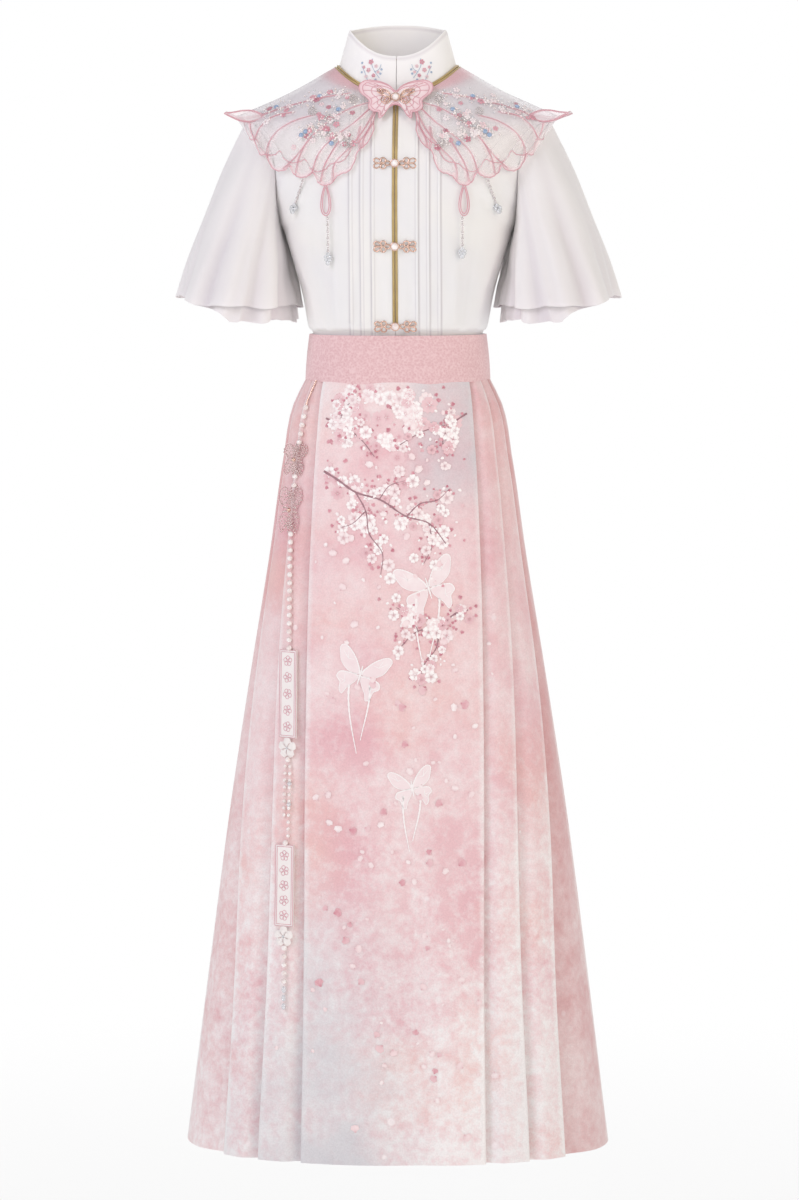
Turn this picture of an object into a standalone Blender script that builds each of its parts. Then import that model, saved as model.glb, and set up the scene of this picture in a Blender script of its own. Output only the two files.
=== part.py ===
"""A worn hanfu set: a white stand-collar blouse with flared double sleeves, a sheer winged capelet
with bead drops, and a pleated horse-face skirt with its waistband and a pearl pendant.

Metres, +Z up, +X to the wearer's left, the front faces -Y. The origin is the centre of the
waistband's top edge, where the wearer's waist holds the set. Each cloth piece is one thin closed
wall, made from rings round the hollow form or from columns that follow another piece."""

import math

import bmesh
import bpy
import numpy as np

MM = 0.001

# Walls and gaps
CLOTH_WALL = 1.0 * MM
STIFF_WALL = 2.0 * MM
SEAM_GAP = 0.3 * MM

# Every section of the set is a squared oval: 2 is an ellipse, more is squarer.
SQUARENESS = 2.3

# Skirt
BAND_HEIGHT = 53 * MM
BAND_WALL = 3 * MM
BAND_COLUMNS = 48
# The waistband's outside half width and depth at its top edge, and how much wider its foot is.
BAND_HALF = (106 * MM, 85.6 * MM)
BAND_FLARE = (4.5 * MM, 4.4 * MM)
SKIRT_HEM_Z = -973 * MM
PLEAT_GAP_AT_WAIST = 2.2 * MM
PLEAT_GAP_AT_HEM = 5.2 * MM
PLEAT_SHARE_TUCKED = 0.45
PANEL_TURN_UNDER = 0.16
PANEL_COLUMN_SHARES = (0.0, 0.35, 0.7)

# The skirt's outside at each height: half its width, its depth before and behind the origin, then
# where the front panel's edge and each pleat's fold lie, in degrees from the centre front.
# height, half_width, depth, panel_edge, fold_1, fold_2, fold_3
SKIRT_SECTIONS = (
    (-53.3, 110.5, 90.0, 49.5, 63.0, 75.0, 83.5),
    (-80.0, 124.0, 99.0, 44.5, 60.5, 74.0, 83.5),
    (-150.0, 138.0, 108.0, 41.5, 58.5, 74.5, 84.0),
    (-260.0, 154.0, 119.0, 38.5, 56.0, 74.5, 84.5),
    (-400.0, 177.0, 133.0, 33.5, 50.5, 71.0, 84.5),
    (-560.0, 202.0, 147.0, 29.0, 44.0, 63.5, 84.5),
    (-750.0, 227.5, 161.0, 25.5, 39.0, 56.0, 84.5),
    (-973.0, 256.0, 174.0, 23.0, 36.5, 51.5, 85.0),
)

# Blouse
TUCK_LINES = (27 * MM, 40 * MM, 53 * MM)
TUCK_WIDTH = 3.6 * MM
TUCK_HEIGHT = 0.9 * MM
TUCK_DROP = 0.5 * MM
OPENING_HALF = 0.3 * MM

# The blouse's outside, ring by ring from its tucked hem to the neckline. Each ring is higher or
# lower at the side, the front and the back. The armhole is a span of degrees each way from the side.
# side_z, front_z, back_z, half_width, front_depth, back_depth, armhole
BODY_RINGS = (
    (-30, -30, -30, 101.4, 80.8, 81.2, 0),
    (2.0, 2.0, 2.0, 101.6, 81.0, 81.4, 0),
    (9, 9, 9, 107.0, 88.0, 86.0, 0),
    (50, 50, 50, 115.0, 96.0, 90.0, 0),
    (95, 95, 95, 127.5, 106.0, 97.0, 0),
    (130, 130, 132, 139.0, 113.0, 102.0, 0),
    (165, 164, 168, 150.0, 115.0, 105.0, 20),
    (200, 196, 204, 159.0, 112.0, 106.0, 27),
    (230, 220, 238, 169.0, 105.5, 104.0, 27),
    (250, 236, 260, 176.0, 98.0, 98.0, 18),
    (258, 248, 274, 178.0, 91.0, 91.0, 0),
    (289, 268, 303, 124.0, 77.0, 75.0, 0),
    (316, 283, 328, 70.5, 62.0, 57.0, 0),
)
ARMHOLE_FROM = 5
ARMHOLE_TO = 10

# Stand collar: its lower and upper ring in the same columns as the blouse, without the armhole.
COLLAR_RINGS = (
    (316.8, 283.8, 328.8, 70.0, 61.5, 56.5),
    (331.0, 298.0, 342.0, 66.2, 58.6, 54.0),
    (361.0, 328.0, 369.0, 58.0, 52.5, 49.5),
)
COLLAR_OPENING_DEG = 0.5

# Gold piping: its seat is this far above and outside the collar's foot, in the table's millimetres.
PIPING_RADIUS = 1.1 * MM
PIPING_SEAT = 1.5

# Sleeves, on the wearer's left. The hem is a ring round the arm, wider and higher on its outside.
SLEEVE_HEM_CENTRE = (193 * MM, 2 * MM)
SLEEVE_HEM_HALF = (69 * MM, 98 * MM)
SLEEVE_HEM_OUTER_Z = 45 * MM
SLEEVE_HEM_INNER_Z = 33 * MM
SLEEVE_HEAD_LIFT = 1.7 * MM
SLEEVE_BULGE = 7 * MM
FLUTES = ((8, 5.0 * MM, 0.6), (13, 2.2 * MM, 2.1))
SLEEVE_COLUMNS = 40
SLEEVE_ROWS = (0.0, 0.10, 0.26, 0.46, 0.72, 1.0)
UNDER_ROWS = (0.08, 0.36, 0.70, 1.0)
UNDER_INSET = (0.4 * MM, 6.0 * MM)
UNDER_DROP_INNER = 21 * MM
UNDER_DROP_OUTER = -4 * MM

# The capelet's form, ring by ring outwards from the neck.
# side_z, front_z, back_z, half_width, front_depth, back_depth, front_squareness, back_squareness
CAPELET_RINGS = (
    (316.8, 281.8, 325.0, 75.4, 66.8, 62.0, 2.3, 2.3),
    (292.8, 272.2, 306.5, 127.0, 80.5, 78.8, 2.3, 2.3),
    (263.5, 252.0, 277.5, 181.0, 94.5, 94.8, 2.2, 2.2),
    (260.0, 224.0, 242.0, 197.0, 109.0, 107.8, 2.0, 2.05),
    (262.0, 199.0, 206.0, 207.0, 116.5, 110.8, 1.8, 2.0),
    (226.0, 166.0, 170.0, 192.0, 121.0, 110.0, 1.8, 2.0),
    (180.0, 130.0, 132.0, 178.0, 119.5, 107.5, 1.8, 2.0),
    (140.0, 95.0, 95.0, 168.0, 113.0, 103.0, 1.8, 2.0),
)
CAPELET_ROWS = (0.0, 0.20, 0.40, 0.60, 0.80, 1.0)
CAPELET_OPENING_DEG = 7

# The capelet's lobed edge as seen from the front and from the back, from the middle to the wing tip.
# across, height
CAPELET_FRONT_EDGE = (
    (13, 270), (17, 257), (21, 243), (27, 229), (37, 219), (42, 206), (51, 193), (62, 186), (71, 178),
    (75, 158), (79, 141), (84, 158), (88, 178), (97, 189), (108, 184), (118, 189), (124, 200),
    (134, 194), (145, 198), (151, 210), (159, 213), (164, 229), (169, 247), (186, 255), (207, 262),
)
CAPELET_BACK_EDGE = (
    (186, 254), (169, 240), (158, 216), (146, 205), (132, 199), (119, 206), (104, 194), (88, 178),
    (76, 172), (62, 186), (46, 196), (30, 184), (15, 172), (0, 168),
)

# Gold ribbons on the two edges of the front opening. Each end stops short of its last ring, by this
# share of the way to the next one.
RIBBON_ACROSS = (0.5 * MM, 3.3 * MM)
RIBBON_WALL = 0.9 * MM
RIBBON_TOP_TRIM = 0.12
RIBBON_FOOT_TRIM = 0.02

# Clasps: a pearl between two rose-gold wire bows, at these heights.
CLASP_HEIGHTS = (201 * MM, 104 * MM, 10 * MM)
CLASP_PEARL_RADIUS = 4.2 * MM
CLASP_LIFT = 0.8 * MM
WIRE_RADIUS = 0.7 * MM
# across, up
BOW_OUTLINE = (
    (4.9, 0.8), (7.2, 3.6), (10.2, 2.2), (13.0, 4.6), (17.6, 6.2), (22.0, 5.0), (24.4, 2.3), (22.4, 0.0),
    (24.4, -2.3), (22.0, -5.0), (17.6, -6.2), (13.0, -4.6), (10.2, -2.2), (7.2, -3.6), (4.9, -0.8),
)

# Embroidered butterfly over the top clasp, tilted from the chest to the collar's foot.
PATCH_HEIGHT = 279 * MM
PATCH_WALL = 1.2 * MM
PATCH_FOOT = (256 * MM, 92.5 * MM)
PATCH_TOP = (302 * MM, 65.5 * MM)
PATCH_CURL = 2.0
PATCH_ROWS = (0.08, 0.55, 1.0)
# across, up
PATCH_OUTLINE = (
    (0, 7), (8, 14), (21, 19), (35, 20), (43, 15), (42, 6), (35, 0), (31, -5), (32, -12), (26, -17),
    (20, -18), (19, -25), (14, -22), (8, -13), (0, -9),
)
TOP_PEARL_RADIUS = 4.0 * MM
# across, up
WING_WIRE_OUTLINE = (
    (4.8, 0.8), (9, 7), (15, 9), (19, 6), (15.5, 1.5), (17, -4), (12, -8), (7, -5), (4.8, -0.8),
)

# Bead drops of the capelet: where each starts and ends, seen from the front.
# side, start_across, start_height, end_across, end_height, forward_of_blouse
BEAD_DROPS = (
    (-1, 108, 183, 122, 144, 7.2),
    (-1, 79, 139.5, 79, 83, 5.6),
    (1, 108, 183, 122, 144, 7.2),
    (1, 79, 139.5, 79, 91, 5.6),
)
DROP_SIDES = 6
# share of the length, radius
DROP_PROFILE = ((0.0, 0.9), (0.66, 0.9), (0.72, 2.0), (0.84, 4.0), (0.93, 3.6), (1.0, 0.8))

# Pendant: the line it hangs along on the wearer's right, then its pieces from top to bottom.
# height, across
PENDANT_LINE = (
    (-54, -95), (-80, -106), (-110, -112), (-150, -118), (-210, -123.5), (-260, -125), (-480, -125.5),
    (-600, -128.5), (-800, -130),
)
PENDANT_GAP = 0.4 * MM
STRAND_RADIUS = 2.6 * MM
STRAND_STEP = 14 * MM
ORNAMENT_WALL = 2.4 * MM
# name, kind, height_of_piece
PENDANT_PIECES = (
    ("pendant_strand_1", "strand", 75),
    ("pendant_butterfly_1", "butterfly", 36),
    ("pendant_strand_2", "strand", 14),
    ("pendant_butterfly_2", "butterfly", 53),
    ("pendant_strand_3", "strand", 137),
    ("pendant_plaque_1", "plaque", 103),
    ("pendant_flower_1", "flower", 23),
    ("pendant_strand_4", "strand", 101),
    ("pendant_plaque_2", "plaque", 96),
    ("pendant_flower_2", "flower", 23),
    ("pendant_strand_5", "strand", 72),
)
PLAQUE_HALF_WIDTH = 12.2
PENDANT_BUTTERFLY_HALF_WIDTH = 14.0
# across and up, as shares of half the width and half the height
PENDANT_BUTTERFLY = (
    (0.0, 1.0), (0.14, 0.76), (0.45, 1.0), (0.88, 0.90), (1.0, 0.45), (0.55, 0.05), (0.85, -0.45),
    (0.64, -0.98), (0.32, -0.80), (0.12, -0.66), (0.0, -1.0),
)
FLOWER_COLUMNS = 40
FLOWER_NOTCH = 0.76


def srgb(code):
    """A hex colour as the linear values that a shader takes."""
    parts = [int(code[i:i + 2], 16) / 255 for i in (0, 2, 4)]
    return [c / 12.92 if c <= 0.04045 else ((c + 0.055) / 1.055) ** 2.4 for c in parts] + [1.0]


def finish(name, code, roughness, metallic=0.0):
    material = bpy.data.materials.new(name)
    material.use_nodes = True
    shader = material.node_tree.nodes["Principled BSDF"]
    shader.inputs["Base Color"].default_value = srgb(code)
    shader.inputs["Roughness"].default_value = roughness
    shader.inputs["Metallic"].default_value = metallic
    return material


def add_object(name, mesh, material, crease_deg=40):
    mesh.materials.append(material)
    mesh.shade_smooth()
    mesh.set_sharp_from_angle(angle=math.radians(crease_deg))
    item = bpy.data.objects.new(name, mesh)
    bpy.context.scene.collection.objects.link(item)
    return item


def facing_out(bm):
    """Turns a closed mesh's faces outwards."""
    bmesh.ops.recalc_face_normals(bm, faces=bm.faces)
    if bm.calc_volume(signed=True) < 0:
        bmesh.ops.reverse_faces(bm, faces=bm.faces)


def wall(name, outer, inner, material, ring=False):
    """A closed wall between two grids of points, rows by columns. A ring closes on its first column."""
    rows, columns = len(outer), len(outer[0])
    spans = columns if ring else columns - 1
    bm = bmesh.new()
    skins = [[[bm.verts.new(point) for point in row] for row in grid] for grid in (outer, inner)]
    for skin in skins:
        for i in range(rows - 1):
            for j in range(spans):
                k = (j + 1) % columns
                bm.faces.new((skin[i][j], skin[i][k], skin[i + 1][k], skin[i + 1][j]))
    out, back = skins
    for i in (0, rows - 1):
        for j in range(spans):
            k = (j + 1) % columns
            bm.faces.new((out[i][j], out[i][k], back[i][k], back[i][j]))
    if not ring:
        for j in (0, columns - 1):
            for i in range(rows - 1):
                bm.faces.new((out[i][j], out[i + 1][j], back[i + 1][j], back[i][j]))
    facing_out(bm)
    mesh = bpy.data.meshes.new(name)
    bm.to_mesh(mesh)
    bm.free()
    return add_object(name, mesh, material)


def normals_of(grid, away_from, ring=False):
    """A unit normal for each point of a grid, pointing away from a point inside the form."""
    if ring:
        along = np.roll(grid, -1, axis=1) - np.roll(grid, 1, axis=1)
    else:
        along = np.gradient(grid, axis=1)
    across = np.gradient(grid, axis=0)
    normal = np.cross(along, across)
    normal /= np.linalg.norm(normal, axis=2, keepdims=True)
    if ((grid - np.array(away_from)) * normal).sum() < 0:
        normal = -normal
    return normal


def cloth(name, grid, away_from, material, thickness=CLOTH_WALL, ring=False):
    """A wall whose outside is the grid and whose inside lies one thickness behind it."""
    inner = grid - normals_of(grid, away_from, ring) * thickness
    return wall(name, grid, inner, material, ring)


def mirrored(grid):
    return grid * np.array((-1, 1, 1))


def oval(half_width, front, back, degrees, squareness):
    """A point of a squared oval, turned from the centre front towards the wearer's left."""
    turn = np.radians(np.asarray(degrees, float))
    power = 2 / squareness
    x = half_width * np.sign(np.sin(turn)) * np.abs(np.sin(turn)) ** power
    depth = np.where(np.cos(turn) >= 0, front, back)
    y = -depth * np.sign(np.cos(turn)) * np.abs(np.cos(turn)) ** power
    return x, y


def ring_points(ring, degrees, squareness):
    """Points of one ring of a table, whose height runs from the side's to the front's or the back's."""
    side_z, front_z, back_z, half_width, front, back = [value * MM for value in ring[:6]]
    x, y = oval(half_width, front, back, degrees, squareness)
    lean = np.cos(np.radians(np.asarray(degrees, float))) ** 2
    end_z = np.where(np.cos(np.radians(np.asarray(degrees, float))) >= 0, front_z, back_z)
    return np.stack([x, y, side_z + (end_z - side_z) * lean], axis=-1)


def angle_at(across, half_width, squareness):
    """The angle from the centre front at which a squared oval is this far across."""
    return np.degrees(np.arcsin(np.minimum(across / half_width, 1) ** (squareness / 2)))


class SkirtSection:
    """One level section of the skirt: its innermost layer's line, by length from the centre front."""

    FINE = 721

    def __init__(self, height):
        table = np.array(SKIRT_SECTIONS)
        heights = table[::-1, 0] * MM
        half_width, depth = (np.interp(height, heights, table[::-1, i] * MM) for i in (1, 2))
        self.height = height
        share = (height + BAND_HEIGHT) / (SKIRT_HEM_Z + BAND_HEIGHT)
        self.gap = PLEAT_GAP_AT_WAIST + (PLEAT_GAP_AT_HEM - PLEAT_GAP_AT_WAIST) * share
        inset = 2 * self.gap + CLOTH_WALL / 2
        degrees = np.linspace(0, 180, self.FINE)
        x, y = oval(half_width - inset, depth - inset, depth - inset, degrees, SQUARENESS)
        self.line = np.stack([x, y], axis=1)
        step = np.linalg.norm(np.diff(self.line, axis=0), axis=1)
        self.length = np.concatenate([[0], np.cumsum(step)])
        tangent = np.gradient(self.line, axis=0)
        tangent /= np.linalg.norm(tangent, axis=1, keepdims=True)
        self.normal = np.stack([tangent[:, 1], -tangent[:, 0]], axis=1)
        turns = [np.interp(height, heights, table[::-1, i]) for i in range(3, 7)]
        self.folds = np.interp(turns, degrees, self.length)
        self.outside = 2 * self.gap + CLOTH_WALL / 2

    def point(self, along, lift):
        """The place this far along from the centre front, and this far out from the innermost layer."""
        place = [np.interp(along, self.length, self.line[:, i]) for i in (0, 1)]
        out = [np.interp(along, self.length, self.normal[:, i]) for i in (0, 1)]
        return place[0] + out[0] * lift, place[1] + out[1] * lift


def thickened(path, thickness):
    """The two sides of a wall along a flat path, mitred at its corners."""
    path = np.array(path)
    step = np.diff(path, axis=0)
    step /= np.linalg.norm(step, axis=1, keepdims=True)
    before = np.vstack([step[:1], step])
    after = np.vstack([step, step[-1:]])
    side = (before + after) @ np.array([[0, -1], [1, 0]])
    side /= np.linalg.norm(side, axis=1, keepdims=True)
    square = before @ np.array([[0, -1], [1, 0]])
    reach = thickness / 2 / np.maximum((side * square).sum(axis=1), 0.5)
    return path + side * reach[:, None], path - side * reach[:, None]


def pleat_path(section):
    """The path of one side's pleats from under the front panel to under the back one.

    Each layer comes out from under the fold before it, rises, runs to its own fold, turns back
    under itself and then forward again. The back half is the front half turned round."""
    gap, folds, whole = section.gap, section.folds, section.length[-1]
    steps = [(folds[0] - PANEL_TURN_UNDER * folds[0], 0), (folds[0] + MM, 0)]
    for before, fold in zip(folds, folds[1:]):
        tucked = PLEAT_SHARE_TUCKED * (fold - before)
        steps += [
            (fold - tucked - gap, 2 * gap),
            (fold - gap / 2, 2 * gap),
            (fold, 1.5 * gap),
            (fold - gap / 2, gap),
            (fold - tucked, gap),
            (fold - tucked - gap / 2, gap / 2),
            (fold - tucked, 0),
            (fold + MM, 0),
        ]
    steps += [(whole / 2, 0)] + [(whole - along, lift) for along, lift in reversed(steps)]
    return [section.point(along, lift) for along, lift in steps]


def panel_path(section):
    """The path across the front panel, with its two edges turned under."""
    gap, edge = section.gap, section.folds[0]
    turned = edge - PANEL_TURN_UNDER * edge
    half = [(edge * share, 2 * gap) for share in PANEL_COLUMN_SHARES]
    half += [(edge - gap / 2, 2 * gap), (edge, 1.5 * gap), (edge - gap / 2, gap), (turned + gap, gap)]
    right = [section.point(along, lift) for along, lift in half]
    return [(-x, y) for x, y in reversed(right[1:])] + right


def skirt_wall(name, path_of, side, depth_sign, material):
    """A wall through the same path at each height of the skirt's table."""
    outer, inner = [], []
    for row in SKIRT_SECTIONS:
        section = SkirtSection(row[0] * MM)
        grids = thickened(path_of(section), CLOTH_WALL)
        for grid, rows in zip(grids, (outer, inner)):
            rows.append([(side * x, depth_sign * y, section.height) for x, y in grid])
    wall(name, np.array(outer), np.array(inner), material)


def build_skirt(cloth_pink):
    skirt_wall("skirt_front_panel", panel_path, 1, 1, cloth_pink)
    skirt_wall("skirt_back_panel", panel_path, 1, -1, cloth_pink)
    skirt_wall("skirt_pleats_left", pleat_path, 1, 1, cloth_pink)
    skirt_wall("skirt_pleats_right", pleat_path, -1, 1, cloth_pink)


def band_half_sizes(height):
    """The waistband's outside half width and depth: it widens a little towards the hip."""
    share = -height / BAND_HEIGHT
    return [half + flare * share for half, flare in zip(BAND_HALF, BAND_FLARE)]


def build_waistband(band_cloth):
    degrees = np.linspace(0, 360, BAND_COLUMNS, endpoint=False)
    grids = []
    for inset in (0, BAND_WALL):
        rows = []
        for height in (0.0, -BAND_HEIGHT / 2, -BAND_HEIGHT + SEAM_GAP):
            half_width, depth = band_half_sizes(height)
            x, y = oval(half_width - inset, depth - inset, depth - inset, degrees, SQUARENESS)
            rows.append(np.stack([x, y, np.full_like(x, height)], axis=1))
        grids.append(np.array(rows))
    wall("waistband", grids[0], grids[1], band_cloth, ring=True)


def front_columns(ring):
    """The angles of a front's columns at one ring, and how far each is raised.

    The columns by the opening keep their distance from it, so that the pin tucks run straight."""
    half_width = ring[3] * MM
    across, raised = [OPENING_HALF, 15 * MM], [0, 0]
    for line in TUCK_LINES:
        across += [line - TUCK_WIDTH, line, line + TUCK_DROP]
        raised += [0, TUCK_HEIGHT, 0]
    turns = list(angle_at(np.array(across), half_width, SQUARENESS))
    last = 90 - ring[6]
    free = np.linspace(turns[-1], last, 7)[1:]
    return np.array(turns + list(free)), np.array(raised + [0] * len(free))


def build_blouse(white):
    for side, turn in (("left", lambda grid: grid), ("right", mirrored)):
        rows, lifts = [], []
        for ring in BODY_RINGS:
            degrees, raised = front_columns(ring)
            rows.append(ring_points(ring, degrees, SQUARENESS))
            lifts.append(raised)
        grid = np.array(rows)
        outwards = normals_of(grid, (0, 0, 0.1))
        outer = grid + outwards * np.array(lifts)[:, :, None]
        inner = grid - outwards * CLOTH_WALL
        wall(f"blouse_front_{side}", turn(outer), turn(inner), white)
    rows = []
    for ring in BODY_RINGS:
        start = 90 + ring[6] + 0.25
        degrees = np.linspace(start, 360 - start, 19)
        rows.append(ring_points(ring, degrees, SQUARENESS))
    cloth("blouse_back", np.array(rows), (0, 0, 0.1), white)


def build_collar(white, gold):
    degrees = np.linspace(COLLAR_OPENING_DEG, 360 - COLLAR_OPENING_DEG, 37)
    grid = np.array([ring_points(ring, degrees, SQUARENESS) for ring in COLLAR_RINGS])
    cloth("stand_collar", grid, (0, 0, 0.33), white, STIFF_WALL)
    seat = [value + PIPING_SEAT for value in COLLAR_RINGS[0]]
    points = ring_points(seat, np.linspace(14, 346, 35), SQUARENESS)
    cord("collar_piping", points, PIPING_RADIUS, gold, rounding=0)


def cord(name, points, radius, material, closed=False, rounding=1):
    """A round strand through the points."""
    curve = bpy.data.curves.new(name, "CURVE")
    curve.dimensions = "3D"
    curve.bevel_depth = radius
    curve.bevel_resolution = rounding
    curve.use_fill_caps = not closed
    line = curve.splines.new("POLY")
    line.points.add(len(points) - 1)
    for point, place in zip(line.points, points):
        point.co = (*place, 1)
    line.use_cyclic_u = closed
    curve.materials.append(material)
    item = bpy.data.objects.new(name, curve)
    bpy.context.scene.collection.objects.link(item)
    return item


def smooth_loop(points, count):
    """A closed smooth curve through the points, cut into equal shares of its parameter."""
    points = np.array(points)
    places = np.linspace(0, len(points), count, endpoint=False)
    index = places.astype(int)
    t = (places - index)[:, None]
    a, b, c, d = (points[(index + k) % len(points)] for k in (-1, 0, 1, 2))
    return 0.5 * (2 * b + (c - a) * t + (2 * a - 5 * b + 4 * c - d) * t**2 + (3 * b - a - 3 * c + d) * t**3)


def armhole_loop():
    """The armhole's edge from the shoulder, down the front, through the underarm and up the back."""
    rings = BODY_RINGS[ARMHOLE_FROM:ARMHOLE_TO + 1]
    front = [ring_points(ring, 90 - ring[6], SQUARENESS) for ring in reversed(rings)]
    back = [ring_points(ring, 90 + ring[6], SQUARENESS) for ring in rings[1:-1]]
    return smooth_loop(front + back, SLEEVE_COLUMNS)


def sleeve_grid(shares, drop_inner=0.0, drop_outer=0.0):
    """Rings from the armhole to the hem, straight down the cloth, with flutes that open downwards."""
    head = armhole_loop() + np.array((SLEEVE_HEAD_LIFT, 0, 0))
    turn = np.linspace(0, 2 * math.pi, SLEEVE_COLUMNS, endpoint=False)
    outwards = np.cos(turn)
    flute = sum(size * np.cos(count * turn + phase) for count, size, phase in FLUTES)
    hem_z = SLEEVE_HEM_INNER_Z + (SLEEVE_HEM_OUTER_Z - SLEEVE_HEM_INNER_Z) * np.maximum(outwards, 0) ** 2
    drop = drop_inner + (drop_outer - drop_inner) * np.maximum(outwards, 0) ** 0.6
    hem = np.stack([
        SLEEVE_HEM_CENTRE[0] + SLEEVE_HEM_HALF[0] * outwards,
        SLEEVE_HEM_CENTRE[1] - SLEEVE_HEM_HALF[1] * np.sin(turn),
        hem_z - drop,
    ], axis=1)
    spread = np.stack([outwards, -np.sin(turn), np.zeros_like(turn)], axis=1)
    rows = []
    for share in shares:
        bulge = SLEEVE_BULGE * math.sin(math.pi * share) * np.maximum(outwards, 0)
        rows.append(head + (hem - head) * share + spread * (flute * share**1.6 + bulge)[:, None])
    return np.array(rows)


def build_sleeves(white):
    middle = (0.19, 0, 0.14)
    outer_layer = sleeve_grid(SLEEVE_ROWS)
    under = sleeve_grid(UNDER_ROWS, UNDER_DROP_INNER, UNDER_DROP_OUTER)
    inset = np.interp(UNDER_ROWS, (0, 1), UNDER_INSET)[:, None, None]
    under = under - normals_of(under, middle, ring=True) * (inset + CLOTH_WALL)
    for side, turn, at in (("left", lambda grid: grid, 1), ("right", mirrored, -1)):
        centre = (at * middle[0], middle[1], middle[2])
        cloth(f"sleeve_{side}", turn(outer_layer), centre, white, ring=True)
        cloth(f"sleeve_under_{side}", turn(under), centre, white, ring=True)


def capelet_point(angle, level):
    """A place on the capelet's form, this many rings out from the neck."""
    table = np.array(CAPELET_RINGS)
    ring = [np.interp(level, range(len(table)), table[:, i]) for i in range(8)]
    behind = 90 < angle < 270
    return ring_points(ring, angle, ring[7] if behind else ring[6])


def capelet_places(edge, first, last):
    """The angle and the level of each edge point, found on the form as it is seen from the front or back."""
    angles = np.linspace(first, last, 121)
    levels = np.linspace(0.6, len(CAPELET_RINGS) - 1, 161)
    form = np.array([[capelet_point(angle, level) for level in levels] for angle in angles])
    places = []
    for across, height in edge:
        miss = np.hypot(form[:, :, 0] - across * MM, form[:, :, 2] - height * MM)
        i, j = np.unravel_index(miss.argmin(), miss.shape)
        places.append((angles[i], levels[j]))
    return places


def build_capelet(sheer):
    half = capelet_places(CAPELET_FRONT_EDGE, 0, 90) + capelet_places(CAPELET_BACK_EDGE, 90.5, 180)
    starts = np.linspace(CAPELET_OPENING_DEG, 180, len(half))
    columns = [
        [capelet_point(start + (angle - start) * share, level * share) for share in CAPELET_ROWS]
        for start, (angle, level) in zip(starts, half)
    ]
    left = np.array(columns).swapaxes(0, 1)
    grid = np.concatenate([left, mirrored(left[:, -2::-1])], axis=1)
    cloth("capelet", grid, (0, 0, 0.15), sheer)


def front_depth(across, height):
    """How far the outside of the blouse's front lies from the middle, this far across and this high."""
    rings = [ring for ring in BODY_RINGS if ring[3] * MM > abs(across)]
    turns = [angle_at(abs(across), ring[3] * MM, SQUARENESS) for ring in rings]
    places = np.array([ring_points(ring, turn, SQUARENESS) for ring, turn in zip(rings, turns)])
    return -np.interp(height, places[:, 2], places[:, 1])


def build_ribbons(gold):
    rings = BODY_RINGS[2:]
    for side, turn in (("left", lambda grid: grid), ("right", mirrored)):
        rows = []
        for ring in rings:
            degrees = angle_at(np.array(RIBBON_ACROSS), ring[3] * MM, SQUARENESS)
            rows.append(ring_points(ring, degrees, SQUARENESS))
        grid = np.array(rows)
        grid[-1, :, 1:] += (grid[-2, :, 1:] - grid[-1, :, 1:]) * RIBBON_TOP_TRIM
        grid[0, :, 1:] += (grid[1, :, 1:] - grid[0, :, 1:]) * RIBBON_FOOT_TRIM
        outwards = normals_of(grid, (0, 0, 0.1))
        inner = grid + outwards * SEAM_GAP
        outer = grid + outwards * (SEAM_GAP + RIBBON_WALL)
        wall(f"front_ribbon_{side}", turn(outer), turn(inner), gold)


def pearl(name, centre, radius, material):
    bm = bmesh.new()
    bmesh.ops.create_uvsphere(bm, u_segments=10, v_segments=6, radius=radius)
    mesh = bpy.data.meshes.new(name)
    bm.to_mesh(mesh)
    bm.free()
    item = add_object(name, mesh, material)
    item.location = centre
    return item


def build_clasps(rose_gold, pearl_white):
    forward = CLASP_LIFT + WIRE_RADIUS
    for number, height in enumerate(CLASP_HEIGHTS, start=1):
        for side, sign in (("left", 1), ("right", -1)):
            loop = smooth_loop([(x * MM, z * MM) for x, z in BOW_OUTLINE], 22)
            points = [(sign * x, -front_depth(x, height + z) - forward, height + z) for x, z in loop]
            cord(f"clasp_{number}_bow_{side}", points, WIRE_RADIUS, rose_gold, closed=True, rounding=0)
        depth = front_depth(0, height) + SEAM_GAP * 2 + RIBBON_WALL + CLASP_PEARL_RADIUS
        pearl(f"clasp_{number}_pearl", (0, -depth, height), CLASP_PEARL_RADIUS, pearl_white)


def patch_depth(across, height):
    """How far forward the back of the butterfly patch lies: a tilted plane, curled back at its wings."""
    share = (height - PATCH_FOOT[0]) / (PATCH_TOP[0] - PATCH_FOOT[0])
    return PATCH_FOOT[1] + (PATCH_TOP[1] - PATCH_FOOT[1]) * share - PATCH_CURL * across**2


def build_patch(satin_pink, rose_gold, pearl_white):
    half = [(x * MM, z * MM) for x, z in PATCH_OUTLINE]
    outline = smooth_loop(half + [(-x, z) for x, z in half[-2:0:-1]], 38)
    grids = []
    for forward in (PATCH_WALL, 0):
        rows = []
        for share in PATCH_ROWS:
            places = [(x * share, PATCH_HEIGHT + z * share) for x, z in outline]
            rows.append([(x, -patch_depth(x, z) - forward, z) for x, z in places])
        grids.append(np.array(rows))
    wall("clasp_patch", grids[0], grids[1], satin_pink, ring=True)
    forward = PATCH_WALL + SEAM_GAP
    for side, sign in (("left", 1), ("right", -1)):
        loop = smooth_loop([(x * MM, z * MM) for x, z in WING_WIRE_OUTLINE], 18)
        points = [
            (sign * x, -patch_depth(x, PATCH_HEIGHT + z) - forward - WIRE_RADIUS, PATCH_HEIGHT + z)
            for x, z in loop
        ]
        cord(f"top_clasp_wing_{side}", points, WIRE_RADIUS, rose_gold, closed=True, rounding=0)
    centre = (0, -patch_depth(0, PATCH_HEIGHT) - forward - SEAM_GAP - TOP_PEARL_RADIUS, PATCH_HEIGHT)
    pearl("top_clasp_pearl", centre, TOP_PEARL_RADIUS, pearl_white)


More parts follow.
